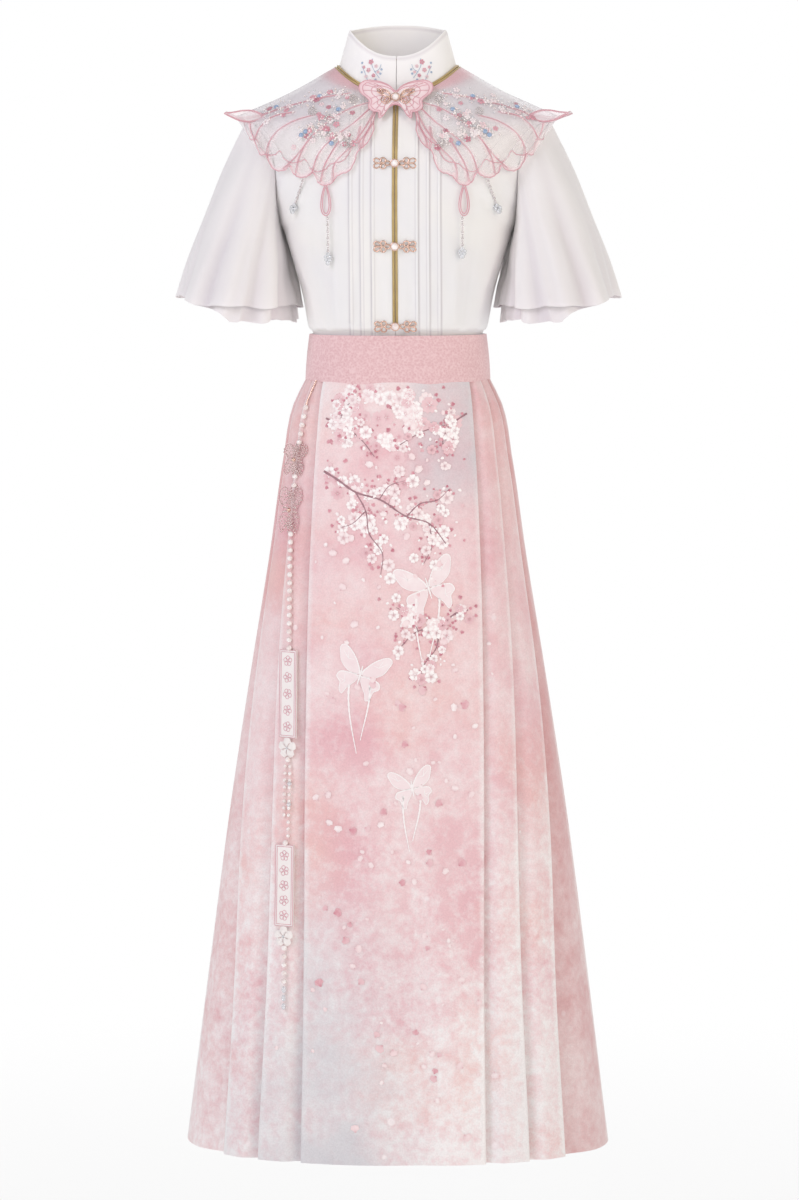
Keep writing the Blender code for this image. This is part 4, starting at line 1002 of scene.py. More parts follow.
for name, side in SIDES:
    turned = np.array((side, 1, 1))
    # The under layer takes an even painted shade, and both layers more in their flute valleys.
    for label, first, drop, inset, shift, painted_layer_shade, flat in (
        ("sleeve", 0.0, (0, 0), (0, 0), 0.0, 0.0, (0.56, 0.24)),
        ("sleeve_under", 0.06, UNDER_DROP, (1.2 * MM, 6.4 * MM), 0.35, 0.16, (0.54, 0.23)),
    ):
        grid, normal, valley_shade = sleeve_layer(first, drop, inset, shift)
        piece = cloth_wall(f"{label}_{name}_cloth", grid * turned, (grid - normal * SLEEVE_WALL) * turned,
                           chiffon,
                           ring=True, fields={"depth": painted_layer_shade + 0.75 * valley_shade})
        settle(piece, "white_chiffon", f"{label}_{name}")


# Stand collar and its piping
# A stiffened band of the blouse's cloth, 47 mm high, that stands round the neck and meets at the
# centre front. Two rounds of gold piping cover the seam at its foot.
# side_z, front_z, back_z, half_width, front_depth, back_depth
COLLAR_RINGS = (
    (316.8, 283.8, 328.8, 70.0, 61.5, 56.5),
    (331.0, 298.0, 342.0, 66.2, 58.6, 54.0),
    (361.0, 328.0, 369.0, 58.0, 52.5, 49.5),
)
COLLAR_WALL = 1.9 * MM
PIPING_RADIUS = 1.35 * MM
collar_levels = np.linspace(0, 2, 19)
collar_rings = read_table([(i, *ring) for i, ring in enumerate(COLLAR_RINGS)], collar_levels)
degrees = np.linspace(0.2, 359.8, 181)
grid = ring_places(collar_rings[:, None, :], degrees[None, :])
normal = side_of(grid, away_from=(0, 0, 0.33))
edge = np.minimum(collar_levels, 2 - collar_levels)[:, None, None]
rounded = 0.7 * MM * np.exp(-edge / 0.05)
inner = grid - normal * (COLLAR_WALL - rounded)
seam = np.exp(-(((collar_levels - 1.9) / 0.025) ** 2))[:, None] * 0.6
collar = cloth_wall("collar_cloth", grid - normal * rounded, inner, slub_silk, fields={"line": seam})
settle(collar, "white_blouse_cloth", "stand_collar")

# Gold piping: bias-cut satin round a fine cord, dull old gold with a stripe of light along it.
gold_satin, tree, shader = new_material("old_gold_satin_piping", 0.38, Metallic=0.35, Sheen_Weight=0.2)
place = add(tree, "ShaderNodeTexCoord").outputs["Object"]
wrap = add(tree, "ShaderNodeTexWave", {"Vector": place, "Scale": 260.0, "Distortion": 1.0},
           bands_direction="DIAGONAL")
rub = add(tree, "ShaderNodeTexNoise", {"Vector": place, "Scale": 60.0, "Detail": 3.0})
gilt = add(tree, "ShaderNodeMix", {0: rub, 6: colour("9F8450"), 7: colour("CDB680")},
           data_type="RGBA")
link_looks(tree, shader, gilt, wrap.outputs["Fac"], 0.25, 0.2 * MM)


def cords(name, lines, radius, material, closed=False, sides=1):
    """Round cords along these lines, as one mesh piece."""
    curve = bpy.data.curves.new(name, "CURVE")
    curve.dimensions = "3D"
    curve.bevel_depth = radius
    curve.bevel_resolution = sides
    curve.use_fill_caps = not closed
    for line in lines:
        spline = curve.splines.new("POLY")
        spline.points.add(len(line) - 1)
        for point, spot in zip(spline.points, line):
            point.co = (*spot, 1)
        spline.use_cyclic_u = closed
    curve.materials.append(material)
    helper = placed(name, curve)
    mesh = bpy.data.meshes.new_from_object(helper.evaluated_get(bpy.context.evaluated_depsgraph_get()))
    bpy.data.objects.remove(helper)
    mesh.shade_smooth()
    return placed(name, mesh)


seat = np.array([value + 1.5 for value in COLLAR_RINGS[0]])
lower_seat = seat + np.array((-1.9, -1.5, -1.9, 2.6, 2.4, 2.4))
rounds = [ring_places(ring, np.linspace(14, 346, 121)) for ring in (seat, lower_seat)]
piping = cords("collar_piping_cord", rounds, PIPING_RADIUS, gold_satin, sides=2)
settle(piping, "gold_piping", "collar_piping")


# Small sprays stitched on the collar
# Satin-stitch blossoms in several pinks, with blue-grey stems and seeds, stitched through the collar's
# outer cloth on each side of the front.
# Satin stitch: dense silk thread, with a soft gloss. Threads of 0.3 mm are drawn at about 1 mm.
silk_thread, tree, shader = new_material("satin_stitch_silk", 0.42, Sheen_Weight=0.3, Specular_IOR_Level=0.4)
tint = add(tree, "ShaderNodeAttribute", attribute_name="tint").outputs["Fac"]
place = add(tree, "ShaderNodeTexCoord").outputs["Object"]
rows = add(tree, "ShaderNodeTexWave", {"Vector": place, "Scale": 620.0, "Distortion": 2.0},
           bands_direction="DIAGONAL")
base = add(tree, "ShaderNodeValToRGB", {"Fac": tint})
stops = base.color_ramp.elements
stops[0].color, stops[1].color = colour("C4788A"), colour("FBF1F2")
for at, code in ((0.25, "DD97A6"), (0.5, "ECBFC7"), (0.75, "F5DDE0")):
    stops.new(at).color = colour(code)
link_looks(tree, shader, base, rows.outputs["Fac"], 0.5)


def one_tone(name, roughness, code, **sockets):
    """A material of one colour, for thread and beads too small to show a second."""
    material, _, shader = new_material(name, roughness, **sockets)
    shader.inputs["Base Color"].default_value = colour(code)
    return material


blue_thread = one_tone("blue_grey_silk", 0.45, "9DB3CC", Sheen_Weight=0.3)

stitched = fan("stitched_flower_shape", 5, 0.6, 0.05, dome=0.28)
collar_form = seen(collar)
flowers, bits, stems = [], [], []
for side in (1, -1):
    for x, z, size, tint in (
        (30, 321, 3.4, 0.2), (24, 316, 2.4, 0.62), (33, 311.5, 3.0, 0.35), (27, 305, 2.5, 0.15),
        (36, 304, 2.3, 0.7), (21.5, 309, 1.9, 0.5), (38.5, 315, 2.1, 0.3), (31, 299, 1.9, 0.6),
    ):
        place, normal = land(collar_form, side * x * MM, z * MM, 0.3 * MM)
        flowers.append((place, normal, rng.uniform(0, 6), size * MM, 0.15 + 0.8 * tint))
    for x, z in ((17.5, 312), (18.8, 307), (41, 309), (24.5, 300), (40.5, 320)):
        place, normal = land(collar_form, side * x * MM, z * MM, 0.3 * MM)
        bits.append((place, normal, rng.uniform(0, 6), 1.5 * MM, 0.5))
    for line in (((20, 302), (25, 309), (29, 318), (28, 325)), ((34, 299), (37, 308), (41, 316)),
                 ((26, 309), (20, 313), (18, 318))):
        stems.append([land(collar_form, side * x * MM, z * MM, 0.25 * MM)[0] for x, z in drawn(line, 9)])
settle(copies("collar_spray_flowers", stitched, flowers, silk_thread), "white_blouse_cloth")
settle(copies("collar_spray_bits", stitched, bits, blue_thread), "white_blouse_cloth")
settle(cords("collar_spray_stems", stems, 0.28 * MM, blue_thread), "white_blouse_cloth")


# Front opening: gold ribbons and three frog clasps
# Each front edge is bound with the gold satin. The frogs are bent from rose-gold wire, with loops on
# both sides of a pearl that sits in a round collet. They are closed.
CLASP_HEIGHTS = (201, 104, 10)
CLASP_WIRE = 0.88 * MM


def front_depth(across, height):
    """How far the outside of the blouse's front lies from the middle. Values are in mm."""
    rings = np.array([ring for ring in BODY_RINGS if ring[3] > abs(across)], float)
    turns = angle_at(abs(across), rings[:, 3])
    places = ring_places(rings, turns)
    return -np.interp(height * MM, places[:, 2], places[:, 1])


ribbon_heights = np.linspace(9.4, 282.0, 90)
for name, side in SIDES:
    section = [(0.25, 0.2), (0.35, 1.1), (0.9, 1.6), (1.7, 1.75), (2.5, 1.55), (3.15, 1.0), (3.3, 0.2)]
    depths = np.array([front_depth(1.5, height) for height in ribbon_heights])
    outer = np.array([[(side * x * MM, -depth - rise * MM, height * MM) for x, rise in section]
                      for height, depth in zip(ribbon_heights, depths)])
    inner = outer.copy()
    inner[:, :, 1] = np.minimum(outer[:, :, 1] + 0.7 * MM, -depths[:, None] - 0.05 * MM)
    inner[:, :, 1] = np.maximum(inner[:, :, 1], outer[:, :, 1] + 0.1 * MM)
    settle(cloth_wall(f"front_ribbon_{name}_satin", outer, inner, gold_satin), "gold_piping",
           f"front_ribbon_{name}")

# Rose-gold plated brass, polished, with light wear.
rose_gold = two_tone("rose_gold_plate", 0.26, 300.0, ("D6AC98", "F4D9CB"), Metallic=1.0)
# Pearl: cream nacre with rosy clouds a few millimetres wide, under a clear gloss.
pearl, tree, shader = new_material("cream_pearl", 0.2, Coat_Weight=0.6, Coat_Roughness=0.06)
depth = add(tree, "ShaderNodeTexNoise", {"Vector": add(tree, "ShaderNodeTexCoord").outputs["Object"],
                                         "Scale": 180.0})
clouds = add(tree, "ShaderNodeMapRange", {"Value": depth, "From Min": 0.32, "From Max": 0.6})
nacre = add(tree, "ShaderNodeMix", {0: clouds, 6: colour("EAD8D4"), 7: colour("FBF5F3")},
            data_type="RGBA")
link_looks(tree, shader, nacre)


def ball(name, segments, rings):
    """A round bead of radius 1."""
    bm = bmesh.new()
    bmesh.ops.create_uvsphere(bm, u_segments=segments, v_segments=rings, radius=1)
    mesh = bpy.data.meshes.new(name)
    bm.to_mesh(mesh)
    bm.free()
    return placed(name, mesh)


big_bead = ball("big_bead_shape", 20, 12)
bead = ball("bead_shape", 9, 6)


def set_pearl(clasp, middle, pearl_radius, collet_radius, behind, wire):
    """A clasp's pearl, with a ring of wire this far behind its middle."""
    settle(copies(f"{clasp}_bead", big_bead, [(middle, (0, -1, 0), 0, pearl_radius, 0)], pearl), "pearl",
           f"{clasp}_pearl")
    ring = [(collet_radius * math.sin(t), middle[1] + behind, middle[2] + collet_radius * math.cos(t))
            for t in np.linspace(0, 2 * math.pi, 28, endpoint=False)]
    settle(cords(f"{clasp}_collet", [ring], wire, rose_gold, closed=True), "rose_gold_wire")


# across, up
CLOVER = (
    ((5.2, 0.4), (7.4, 2.4), (10.4, 2.0), (12.4, 0.0), (10.4, -2.0), (7.4, -2.4), (5.2, -0.4)),
    ((12.0, 0.6), (10.6, 4.2), (13.0, 6.4), (16.0, 5.4), (16.2, 2.4), (14.6, 0.6)),
    ((12.0, -0.6), (10.6, -4.2), (13.0, -6.4), (16.0, -5.4), (16.2, -2.4), (14.6, -0.6)),
    ((15.4, 0.8), (18.0, 4.2), (21.6, 5.8), (24.4, 4.0), (23.2, 1.2), (19.0, 0.3)),
    ((15.4, -0.8), (18.0, -4.2), (21.6, -5.8), (24.4, -4.0), (23.2, -1.2), (19.0, -0.3)),
)
for number, height in enumerate(CLASP_HEIGHTS, start=1):
    for name, side in SIDES:
        lines = [[(side * x * MM, -front_depth(x, height + z) - (1.5 + 0.4 * (i % 2)) * MM, (height + z) * MM)
                  for x, z in smooth_loop(line, 24)] for i, line in enumerate(CLOVER)]
        settle(cords(f"clasp_{number}_wire_{name}", lines, CLASP_WIRE, rose_gold, closed=True),
               "rose_gold_wire",
               f"clasp_{number}_bow_{name}")
    middle = (0, -front_depth(0, height) - 5.2 * MM, height * MM)
    set_pearl(f"clasp_{number}", middle, 4.1 * MM, 4.6 * MM, 0.8 * MM, 0.75 * MM)


# Capelet
# Sheer organza, cut in wing-like lobes and worn over the shoulders. Every edge and vein is a pair of
# satin-stitched lines, with beads, stones and small flowers sewn between, and bead drops at the lobes.
# side_z, front_z, back_z, half_width, front_depth, back_depth, front_squareness, back_squareness
CAPELET_RINGS = (
    (316.8, 281.8, 325.0, 75.4, 66.8, 62.0, 2.3, 2.3),
    (287.8, 270.2, 302.5, 127.0, 80.5, 78.8, 2.3, 2.3),
    (263.5, 252.0, 277.5, 181.0, 94.5, 94.8, 2.2, 2.2),
    (260.0, 224.0, 242.0, 197.0, 109.0, 107.8, 2.0, 2.05),
    (262.0, 199.0, 206.0, 207.0, 116.5, 110.8, 1.8, 2.0),
    (226.0, 166.0, 170.0, 192.0, 121.0, 110.0, 1.8, 2.0),
    (180.0, 130.0, 132.0, 178.0, 119.5, 107.5, 1.8, 2.0),
    (140.0, 95.0, 95.0, 168.0, 113.0, 103.0, 1.8, 2.0),
)
# The lobed edge from the middle to the wing tip: across, height
FRONT_EDGE = (
    (13, 272), (21, 264), (25, 254), (24, 242), (29, 228), (38, 219), (44, 214), (46, 203), (54, 191),
    (66, 187), (73, 179), (81, 175), (90, 179), (95, 190), (104, 185), (114, 185), (121, 191), (124, 199),
    (131, 193), (142, 193), (149, 201), (152, 212), (161, 212), (164, 231), (168, 246), (186, 254), (207, 262),
)
BACK_EDGE = (
    (207, 262), (186, 254), (169, 240), (158, 216), (146, 205), (132, 199), (119, 206), (104, 194), (88, 178),
    (76, 172), (62, 186), (46, 196), (30, 184), (15, 172), (0, 168),
)
CAPELET_OPENING = 7.0
CAPELET_ROWS = 40
# The veins of one side, as this script lays them out: across, height, from the neck outwards.
FRONT_VEINS = (
    ((30, 273), (52, 266), (76, 252), (98, 232), (118, 208), (133, 195)),
    ((27, 268), (46, 250), (68, 234), (88, 214), (97, 190)),
    ((24, 262), (36, 240), (52, 220), (70, 200), (72, 180)),
    ((60, 234), (72, 216), (82, 198), (86, 180)),
    ((92, 238), (104, 224), (112, 208), (116, 190)),
    ((96, 258), (122, 250), (142, 236), (150, 222), (150, 210)),
    ((54, 284), (92, 278), (132, 268), (166, 258), (186, 256)),
    ((120, 262), (146, 256), (160, 244), (166, 232)),
    ((22, 254), (30, 240), (36, 228), (37, 220)),
    ((40, 244), (42, 232), (40, 218), (44, 206)),
)
BACK_VEINS = (
    ((20, 318), (22, 280), (30, 236), (46, 197)),
    ((44, 306), (64, 270), (84, 232), (104, 195)),
    ((60, 296), (92, 266), (116, 236), (132, 200)),
    ((70, 292), (112, 272), (146, 246), (158, 217)),
    ((6, 300), (6, 250), (4, 210), (0, 170)),
)
capelet_levels = np.linspace(0.6, 7, 161)


def capelet_form(degrees, levels, behind):
    """Places on the capelet's form, at these turns from the front and this many rings out from the neck."""
    rings = read_table([(i, *ring) for i, ring in enumerate(CAPELET_RINGS)], np.asarray(levels).ravel())
    degrees = np.asarray(degrees).ravel()
    return ring_places(rings[:, :6], degrees, rings[:, 7] if behind else rings[:, 6])


def on_form(edge, first, last, behind):
    """The turn and the level of each edge point, as the form is seen from the front or the back."""
    turns = np.linspace(first, last, 181)
    a, b = np.meshgrid(turns, capelet_levels, indexing="ij")
    form = capelet_form(a, b, behind).reshape(*a.shape, 3)
    found = []
    for across, height in edge:
        miss = np.hypot(form[:, :, 0] - across * MM, form[:, :, 2] - height * MM)
        i, j = np.unravel_index(miss.argmin(), miss.shape)
        found.append((turns[i], capelet_levels[j]))
    return found


def scalloped(edge, count):
    """The edge cut finer, with its straight runs a little rounded."""
    edge = np.array(edge, float)
    keys = np.linspace(0, len(edge) - 1, count)
    sharp = np.array([np.interp(keys, range(len(edge)), edge[:, i]) for i in (0, 1)]).T
    return 0.35 * sharp + 0.65 * read_table(np.column_stack([range(len(edge)), edge]), keys)


halves = []
for edge, first, last, count, behind in ((FRONT_EDGE, 0, 90, 118, False), (BACK_EDGE, 90.5, 180, 66, True)):
    halves += on_form(scalloped(edge, count), first, last, behind)
edge_turns, edge_levels = np.array(halves).T
edge_turns = np.maximum.accumulate(edge_turns)
starts = np.linspace(CAPELET_OPENING, 180, len(halves))
shares = np.linspace(0, 1, CAPELET_ROWS)[:, None]
turns = starts + (edge_turns - starts) * shares
levels = edge_levels * shares
rings = read_table([(i, *ring) for i, ring in enumerate(CAPELET_RINGS)], levels.ravel())
squareness = np.where(turns.ravel() > 90, rings[:, 7], rings[:, 6])
left = ring_places(rings[:, :6], turns.ravel(), squareness).reshape(*turns.shape, 3)
mirror = np.array((-1, 1, 1))
outer = np.concatenate([left, left[:, -2::-1] * mirror], axis=1)
normal = side_of(outer, away_from=(0, 0, 0.15))
capelet_form_piece = cloth_wall("capelet_form_helper", outer, outer - normal * 0.4 * MM, chiffon)
capelet_tree = seen(capelet_form_piece)
bpy.data.objects.remove(capelet_form_piece)


def on_capelet(line, side, way, lift):
    """A line of (across, height) in mm laid on the capelet."""
    return [land(capelet_tree, side * x * MM, z * MM, lift, way)[0] for x, z in drawn(line, 6 * len(line))]


edge_line = outer[-1]
veins = [on_capelet(line, side, way, 0.5 * MM) for lines, way in ((FRONT_VEINS, 1), (BACK_VEINS, -1))
         for line in lines for side in (1, -1)]
marks = np.concatenate([edge_line] + [np.array(vein) for vein in veins])
flat = outer.reshape(-1, 3)
near = np.min([np.linalg.norm(flat - mark, axis=1) for mark in marks], axis=0).reshape(outer.shape[:2])
neck = np.exp(-(np.linspace(0, 1, CAPELET_ROWS)[:, None] * 110 / 7.5) ** 4) * np.ones_like(near)
shoulder = soft_step(outer[..., 2], 0.225, 0.262) * soft_step(np.abs(outer[..., 0]), 0.03, 0.07)

# Organza: crisp and sheer, nearly white over the chest and lilac grey over the shoulders, and pink beside
# the stitching. Its mesh of 0.2 mm is drawn as a grain of about 0.8 mm.
organza, tree, shader = new_material("sheer_lilac_organza", 0.35, Sheen_Weight=0.5, Sheen_Roughness=0.3)
place = add(tree, "ShaderNodeTexCoord").outputs["Object"]
trim, collar_band, lilac = [add(tree, "ShaderNodeAttribute", attribute_name=name).outputs["Fac"]
                            for name in ("trim", "neck", "shoulder")]
mesh_grain = add(tree, "ShaderNodeTexNoise", {"Vector": place, "Scale": 1200.0, "Detail": 1.0})
ground = add(tree, "ShaderNodeMix", {0: lilac, 6: colour("F8F2F1"), 7: colour("ECE7EC")}, data_type="RGBA")
edged = add(tree, "ShaderNodeMix", {0: trim, 6: ground, 7: colour("F6D9DD")}, data_type="RGBA")
banded = add(tree, "ShaderNodeMix", {0: collar_band, 6: edged, 7: colour("E4BEC4")},
             data_type="RGBA")
link_looks(tree, shader, banded)
# Painted light: the organza glows faintly in its own colour, standing in for the light that passes through it.
tree.links.new(banded.outputs[2], shader.inputs["Emission Color"])
shader.inputs["Emission Strength"].default_value = 0.04  # the light that real organza lets on through it
solid = add(tree, "ShaderNodeMath", {0: trim, 1: 0.34, 2: 0.20}, operation="MULTIPLY_ADD")
solid = add(tree, "ShaderNodeMath", {0: lilac, 1: 0.14, 2: solid}, operation="MULTIPLY_ADD")
solid = add(tree, "ShaderNodeMath", {0: collar_band, 1: 0.36, 2: solid}, operation="MULTIPLY_ADD",
            use_clamp=True)
woven = add(tree, "ShaderNodeMapRange", {"Value": mesh_grain, "From Min": 0.3, "From Max": 0.7,
                                         "To Min": 0.85, "To Max": 1.1})
alpha = add(tree, "ShaderNodeMath", {0: solid, 1: woven}, operation="MULTIPLY",
            use_clamp=True)
tree.links.new(alpha.outputs[0], shader.inputs["Alpha"])
fields = {"trim": np.exp(-((near / (2.1 * MM)) ** 2)), "neck": neck, "shoulder": shoulder}
ripple = 0.8 * MM * np.sin(np.arange(outer.shape[1]) * 0.33) * shares**2
lifted = outer + normal * ripple[..., None]
capelet = cloth_wall("capelet_organza", lifted, lifted - normal * 0.35 * MM, organza, fields=fields)
settle(capelet, "sheer_organza", "capelet")

# Satin-stitched edges and veins, each a pair of lines.
pink_silk, tree, shader = new_material("pink_satin_stitch", 0.45, Sheen_Weight=0.3, Specular_IOR_Level=0.4)
place = add(tree, "ShaderNodeTexCoord").outputs["Object"]
twist = add(tree, "ShaderNodeTexWave", {"Vector": place, "Scale": 500.0, "Distortion": 1.5},
            bands_direction="DIAGONAL")
fade = add(tree, "ShaderNodeTexNoise", {"Vector": place, "Scale": 22.0})
rose = add(tree, "ShaderNodeMix", {0: fade, 6: colour("CC8E9B"), 7: colour("E9B9C1")},
           data_type="RGBA")
link_looks(tree, shader, rose, twist.outputs["Fac"], 0.4, 0.2 * MM)
rim_lines = [lifted[-1] + normal[-1] * 0.15 * MM, lifted[-4] + normal[-4] * 0.35 * MM]


def stitch(name, lines, radius, closed=False):
    """Lines of pink satin stitch, with a radius in mm."""
    settle(cords(name, lines, radius * MM, pink_silk, closed=closed), "pink_satin_stitch")


stitch("capelet_edge_stitching", rim_lines, 0.5)
pairs = []
for lines, way in ((FRONT_VEINS, 1), (BACK_VEINS, -1)):
    for line in lines:
        for side in (1, -1):
            for shift in (0, 3.4):
                moved = [(x + shift * 0.5, z - shift * (0.15 + 0.85 * i / len(line)))
                         for i, (x, z) in enumerate(line)]
                pairs.append(on_capelet(moved if shift else line, side, way, 0.6 * MM))
stitch("capelet_vein_stitching", pairs, 0.34)
# The long lobe of each side ends in an open stitched loop.
tail_rings = []
for side in (1, -1):
    turns = np.linspace(0, 2 * math.pi, 33)
    for grow in (1.0, 0.66):
        ring = [(81 + grow * 7.6 * math.sin(t) * (0.42 + 0.58 * ((1 - math.cos(t)) / 2) ** 0.8),
                 157 + (18.5 if math.cos(t) > 0 else 17.0) * math.cos(t)
                 * (0.86 + 0.14 * grow - 0.1 * (grow < 1)))
                for t in turns]
        tail_rings.append([(side * x * MM, -front_depth(x, z) - 4.4 * MM, z * MM) for x, z in ring])
stitch("capelet_tail_rings", tail_rings, 0.62)

# Wing tips: the outermost lobe of each side is a narrow leaf of its own, stitched round like the others.
LEAF = ((156, 258), (168, 264), (181, 264.5), (192, 262.5), (203, 261), (195, 256), (184, 251.5),
        (172, 250.5), (161, 253))
leaf_lines = []
near_y, far_y = (land(capelet_tree, x * MM, 257 * MM)[0].y for x in (162, 196))
for name, side in SIDES:
    leaf = np.array(smooth_loop(LEAF, 40))
    middle, rows, backs = leaf.mean(axis=0), [], []
    for share in np.linspace(0.04, 1, 8):
        spots = middle + (leaf - middle) * share
        away = near_y + (far_y - near_y) * (spots[:, 0] - 162) / 34 - 1.6 * MM - 1.5 * MM * (1 - share**2)
        rows.append(np.stack([side * spots[:, 0] * MM, away, spots[:, 1] * MM], axis=1))
        backs.append(rows[-1] + np.array((0, 0.35 * MM, 0)))
    rows, backs = np.array(rows), np.array(backs)
    tint = np.broadcast_to(np.linspace(0, 1, 8)[:, None] ** 4 * 0.8 + 0.15, (8, 40))
    piece = cloth_wall(f"capelet_tip_{name}_organza", rows, backs, organza, ring=True,
                       fields={"trim": tint, "neck": tint * 0, "shoulder": tint * 0 + 0.4})
    settle(piece, "sheer_organza")
    leaf_lines += [rows[-1] + np.array((0, -0.5 * MM, 0)), rows[-2] + np.array((0, -0.5 * MM, 0))]
stitch("capelet_tip_stitching", leaf_lines, 0.42, closed=True)

# Beads, crystals, small flowers and blue stones sewn along three arcs of each wing.
# Cut glass is clear with a cool tinge, the glass beads have a silver lining, and the stones are pale blue
# glass.
crystal = one_tone("clear_crystal", 0.04, "F6F8FB", Transmission_Weight=0.45, IOR=1.54)
silver_bead = one_tone("silver_lined_bead", 0.2, "DAD3D2", Metallic=0.6)
blue_stone = one_tone("blue_cut_stone", 0.08, "A9C2E2", Transmission_Weight=0.3, Coat_Weight=0.6)
BEAD_ARCS = (
    ((56, 284), (92, 278), (128, 268), (160, 259)),
    ((48, 276), (70, 260), (92, 244), (112, 234)),
    ((108, 240), (88, 236), (70, 232), (52, 228)),
)
BEADS_PER_ARC = 85
FLOWERS_PER_ARC = 17
pale_beads, clear_beads, small_flowers, stones, rosettes = [], [], [], [], []
for side in (1, -1):
    for arc in BEAD_ARCS:
        line = drawn(arc, 60)
        for _ in range(BEADS_PER_ARC):
            x, z = line[rng.integers(len(line))] + rng.normal(0, 4.2, 2)
            place, normal_at = land(capelet_tree, side * x * MM, z * MM, 1.0 * MM)
            spots = pale_beads if rng.random() < 0.75 else clear_beads
            spots.append((place, normal_at, 0, rng.uniform(0.7, 1.35) * MM, 0.5))
        for _ in range(FLOWERS_PER_ARC):
            x, z = line[rng.integers(len(line))] + rng.normal(0, 5.5, 2)
            place, normal_at = land(capelet_tree, side * x * MM, z * MM, 0.8 * MM)
            small_flowers.append((place, normal_at, rng.uniform(0, 6), rng.uniform(2.4, 4.8) * MM,
                                  rng.choice((0.05, 0.3, 0.7, 0.9, 1.0))))
    for x, z in ((67, 264), (105, 238), (110, 234), (74, 224), (142, 268), (90, 280)):
        place, normal_at = land(capelet_tree, side * x * MM, z * MM, 1.2 * MM)
        stones.append((place, normal_at, 0.5, (3.1 * MM, 3.1 * MM, 1.6 * MM), 0.5))
    for x, z, rounds in ((50, 276, 9), (78, 254, 8), (54, 224, 8), (98, 262, 7)):
        for reach, count in ((0, 1), (2.6, rounds), (4.6, rounds + 5)):
            for k in range(count):
                t = 2 * math.pi * k / count
                across, height = side * (x + reach * math.cos(t)) * MM, (z + reach * math.sin(t)) * MM
                place, normal_at = land(capelet_tree, across, height, 1.1 * MM)
                rosettes.append((place, normal_at, 0, 0.95 * MM, 0.5))
for name, shape, spots, material, slot in (
    ("capelet_pale_beads", bead, pale_beads, pearl, "pearl"),
    ("capelet_clear_beads", bead, clear_beads, crystal, "clear_crystal"),
    ("capelet_small_flowers", stitched, small_flowers, silk_thread, "pink_satin_stitch"),
    ("capelet_blue_stones", bead, stones, blue_stone, "clear_crystal"),
    ("capelet_bead_rosettes", bead, rosettes, silver_bead, "clear_crystal"),
):
    settle(copies(name, shape, spots, material), slot)

# Bead drops: a string of small beads that ends in a cluster of crystals.
# side, start_across, start_height, end_across, end_height, forward_of_blouse
BEAD_DROPS = (
    (-1, 108, 183, 122, 144, 7.2), (-1, 79, 139.5, 79, 83, 5.6),
    (1, 108, 183, 122, 144, 7.2), (1, 79, 139.5, 79, 91, 5.6),
)
for number, (side, x0, z0, x1, z1, forward) in enumerate(BEAD_DROPS, start=1):
    start = Vector((side * x0 * MM, -front_depth(x0, z0) - forward * MM, z0 * MM))
    end = Vector((side * x1 * MM, -front_depth(x1, z1) - forward * MM, z1 * MM))
    length = (end - start).length
    string = []
    along = 0.9 * MM
    while along < length * 0.74:
        size = (1.05 + 0.5 * (len(string) % 3 == 1)) * MM
        string.append((start + (end - start) * (along / length), (0, -1, 0), 0, size, 0.5))
        along += size * 2.15
    cluster = []
    for k, (share, aside, size) in enumerate(
        ((0.79, 0, 2.6), (0.84, 2.9, 2.2), (0.84, -2.9, 2.2), (0.90, 1.9, 2.7), (0.90, -2.0, 2.6),
         (0.97, 0, 3.0))
    ):
        place = start + (end - start) * share + Vector((aside * MM, -0.4 * MM * (k % 2), 0))
        cluster.append((place, (0, -1, 0.2), k, (size * MM, size * MM, size * 1.2 * MM), 0.5))
    settle(copies(f"bead_drop_{number}_string", bead, string, silver_bead), "clear_crystal",
           f"bead_drop_{number}")
    settle(copies(f"bead_drop_{number}_cluster", bead, cluster, crystal, smooth=False), "clear_crystal")


# Butterfly patch and the top clasp
# A satin-stitched butterfly is sewn to one side of the front, and lies over the top clasp: two wings of
# bent rose-gold wire and a pearl. The clasp is closed.
PATCH_MIDDLE = 279.0
PATCH_OUTLINE = (
    (0, 7), (8, 14), (21, 19), (35, 20), (43, 15), (42, 6), (35, 0), (31, -5), (32, -12), (26, -17),
    (20, -18), (19, -25), (14, -22), (8, -13), (0, -9),
)


def patch_front(across, height, forward):
    """A place in front of the patch's back face: a tilted plane, curled back at its wings. In mm."""
    share = (height - 256.0) / (302.0 - 256.0)
    return (across * MM, -(92.5 + (65.5 - 92.5) * share) * MM + 2.0 * (across * MM) ** 2 - forward * MM,
            height * MM)


outline = np.array(smooth_loop(PATCH_OUTLINE + tuple((-x, z) for x, z in PATCH_OUTLINE[-2:0:-1]), 150))
grids = []
for forward in (1.0, 0.0):
    rows = []
    for share in np.linspace(0.03, 1, 16):
        swell = 0.5 * math.sin(math.pi * share) * (forward > 0)
        rows.append([patch_front(x * share, PATCH_MIDDLE + z * share, forward + swell) for x, z in outline])
    grids.append(np.array(rows))
paler_inside = 0.92 - 0.32 * np.linspace(0, 1, 16)[:, None] ** 3
fields = {"tint": np.broadcast_to(paler_inside, (16, 150))}
settle(cloth_wall("clasp_patch_satin", grids[0], grids[1], silk_thread, ring=True, fields=fields),
       "pink_satin_stitch",
       "clasp_patch")
lines = []
for share in (1.0, 0.9, 0.66):
    lines.append([patch_front(x * share, PATCH_MIDDLE + z * share, 1.25 + 0.35 * (share < 0.8))
                  for x, z in outline[::2]])
stitch("clasp_patch_outline", lines, 0.5, closed=True)
ribs = []
for side in (1, -1):
    for x, z in ((38, 15), (33, 17), (27, 17), (40, 8), (30, -2), (28, -10), (23, -15), (17, -22), (14, -14)):
        ribs.append([patch_front(side * (6 + (x - 6) * t),
                                 PATCH_MIDDLE + (1 + (z - 1) * t) + 2.2 * math.sin(math.pi * t), 1.75)
                     for t in np.linspace(0.25, 0.95, 9)])
stitch("clasp_patch_veins", ribs, 0.38)
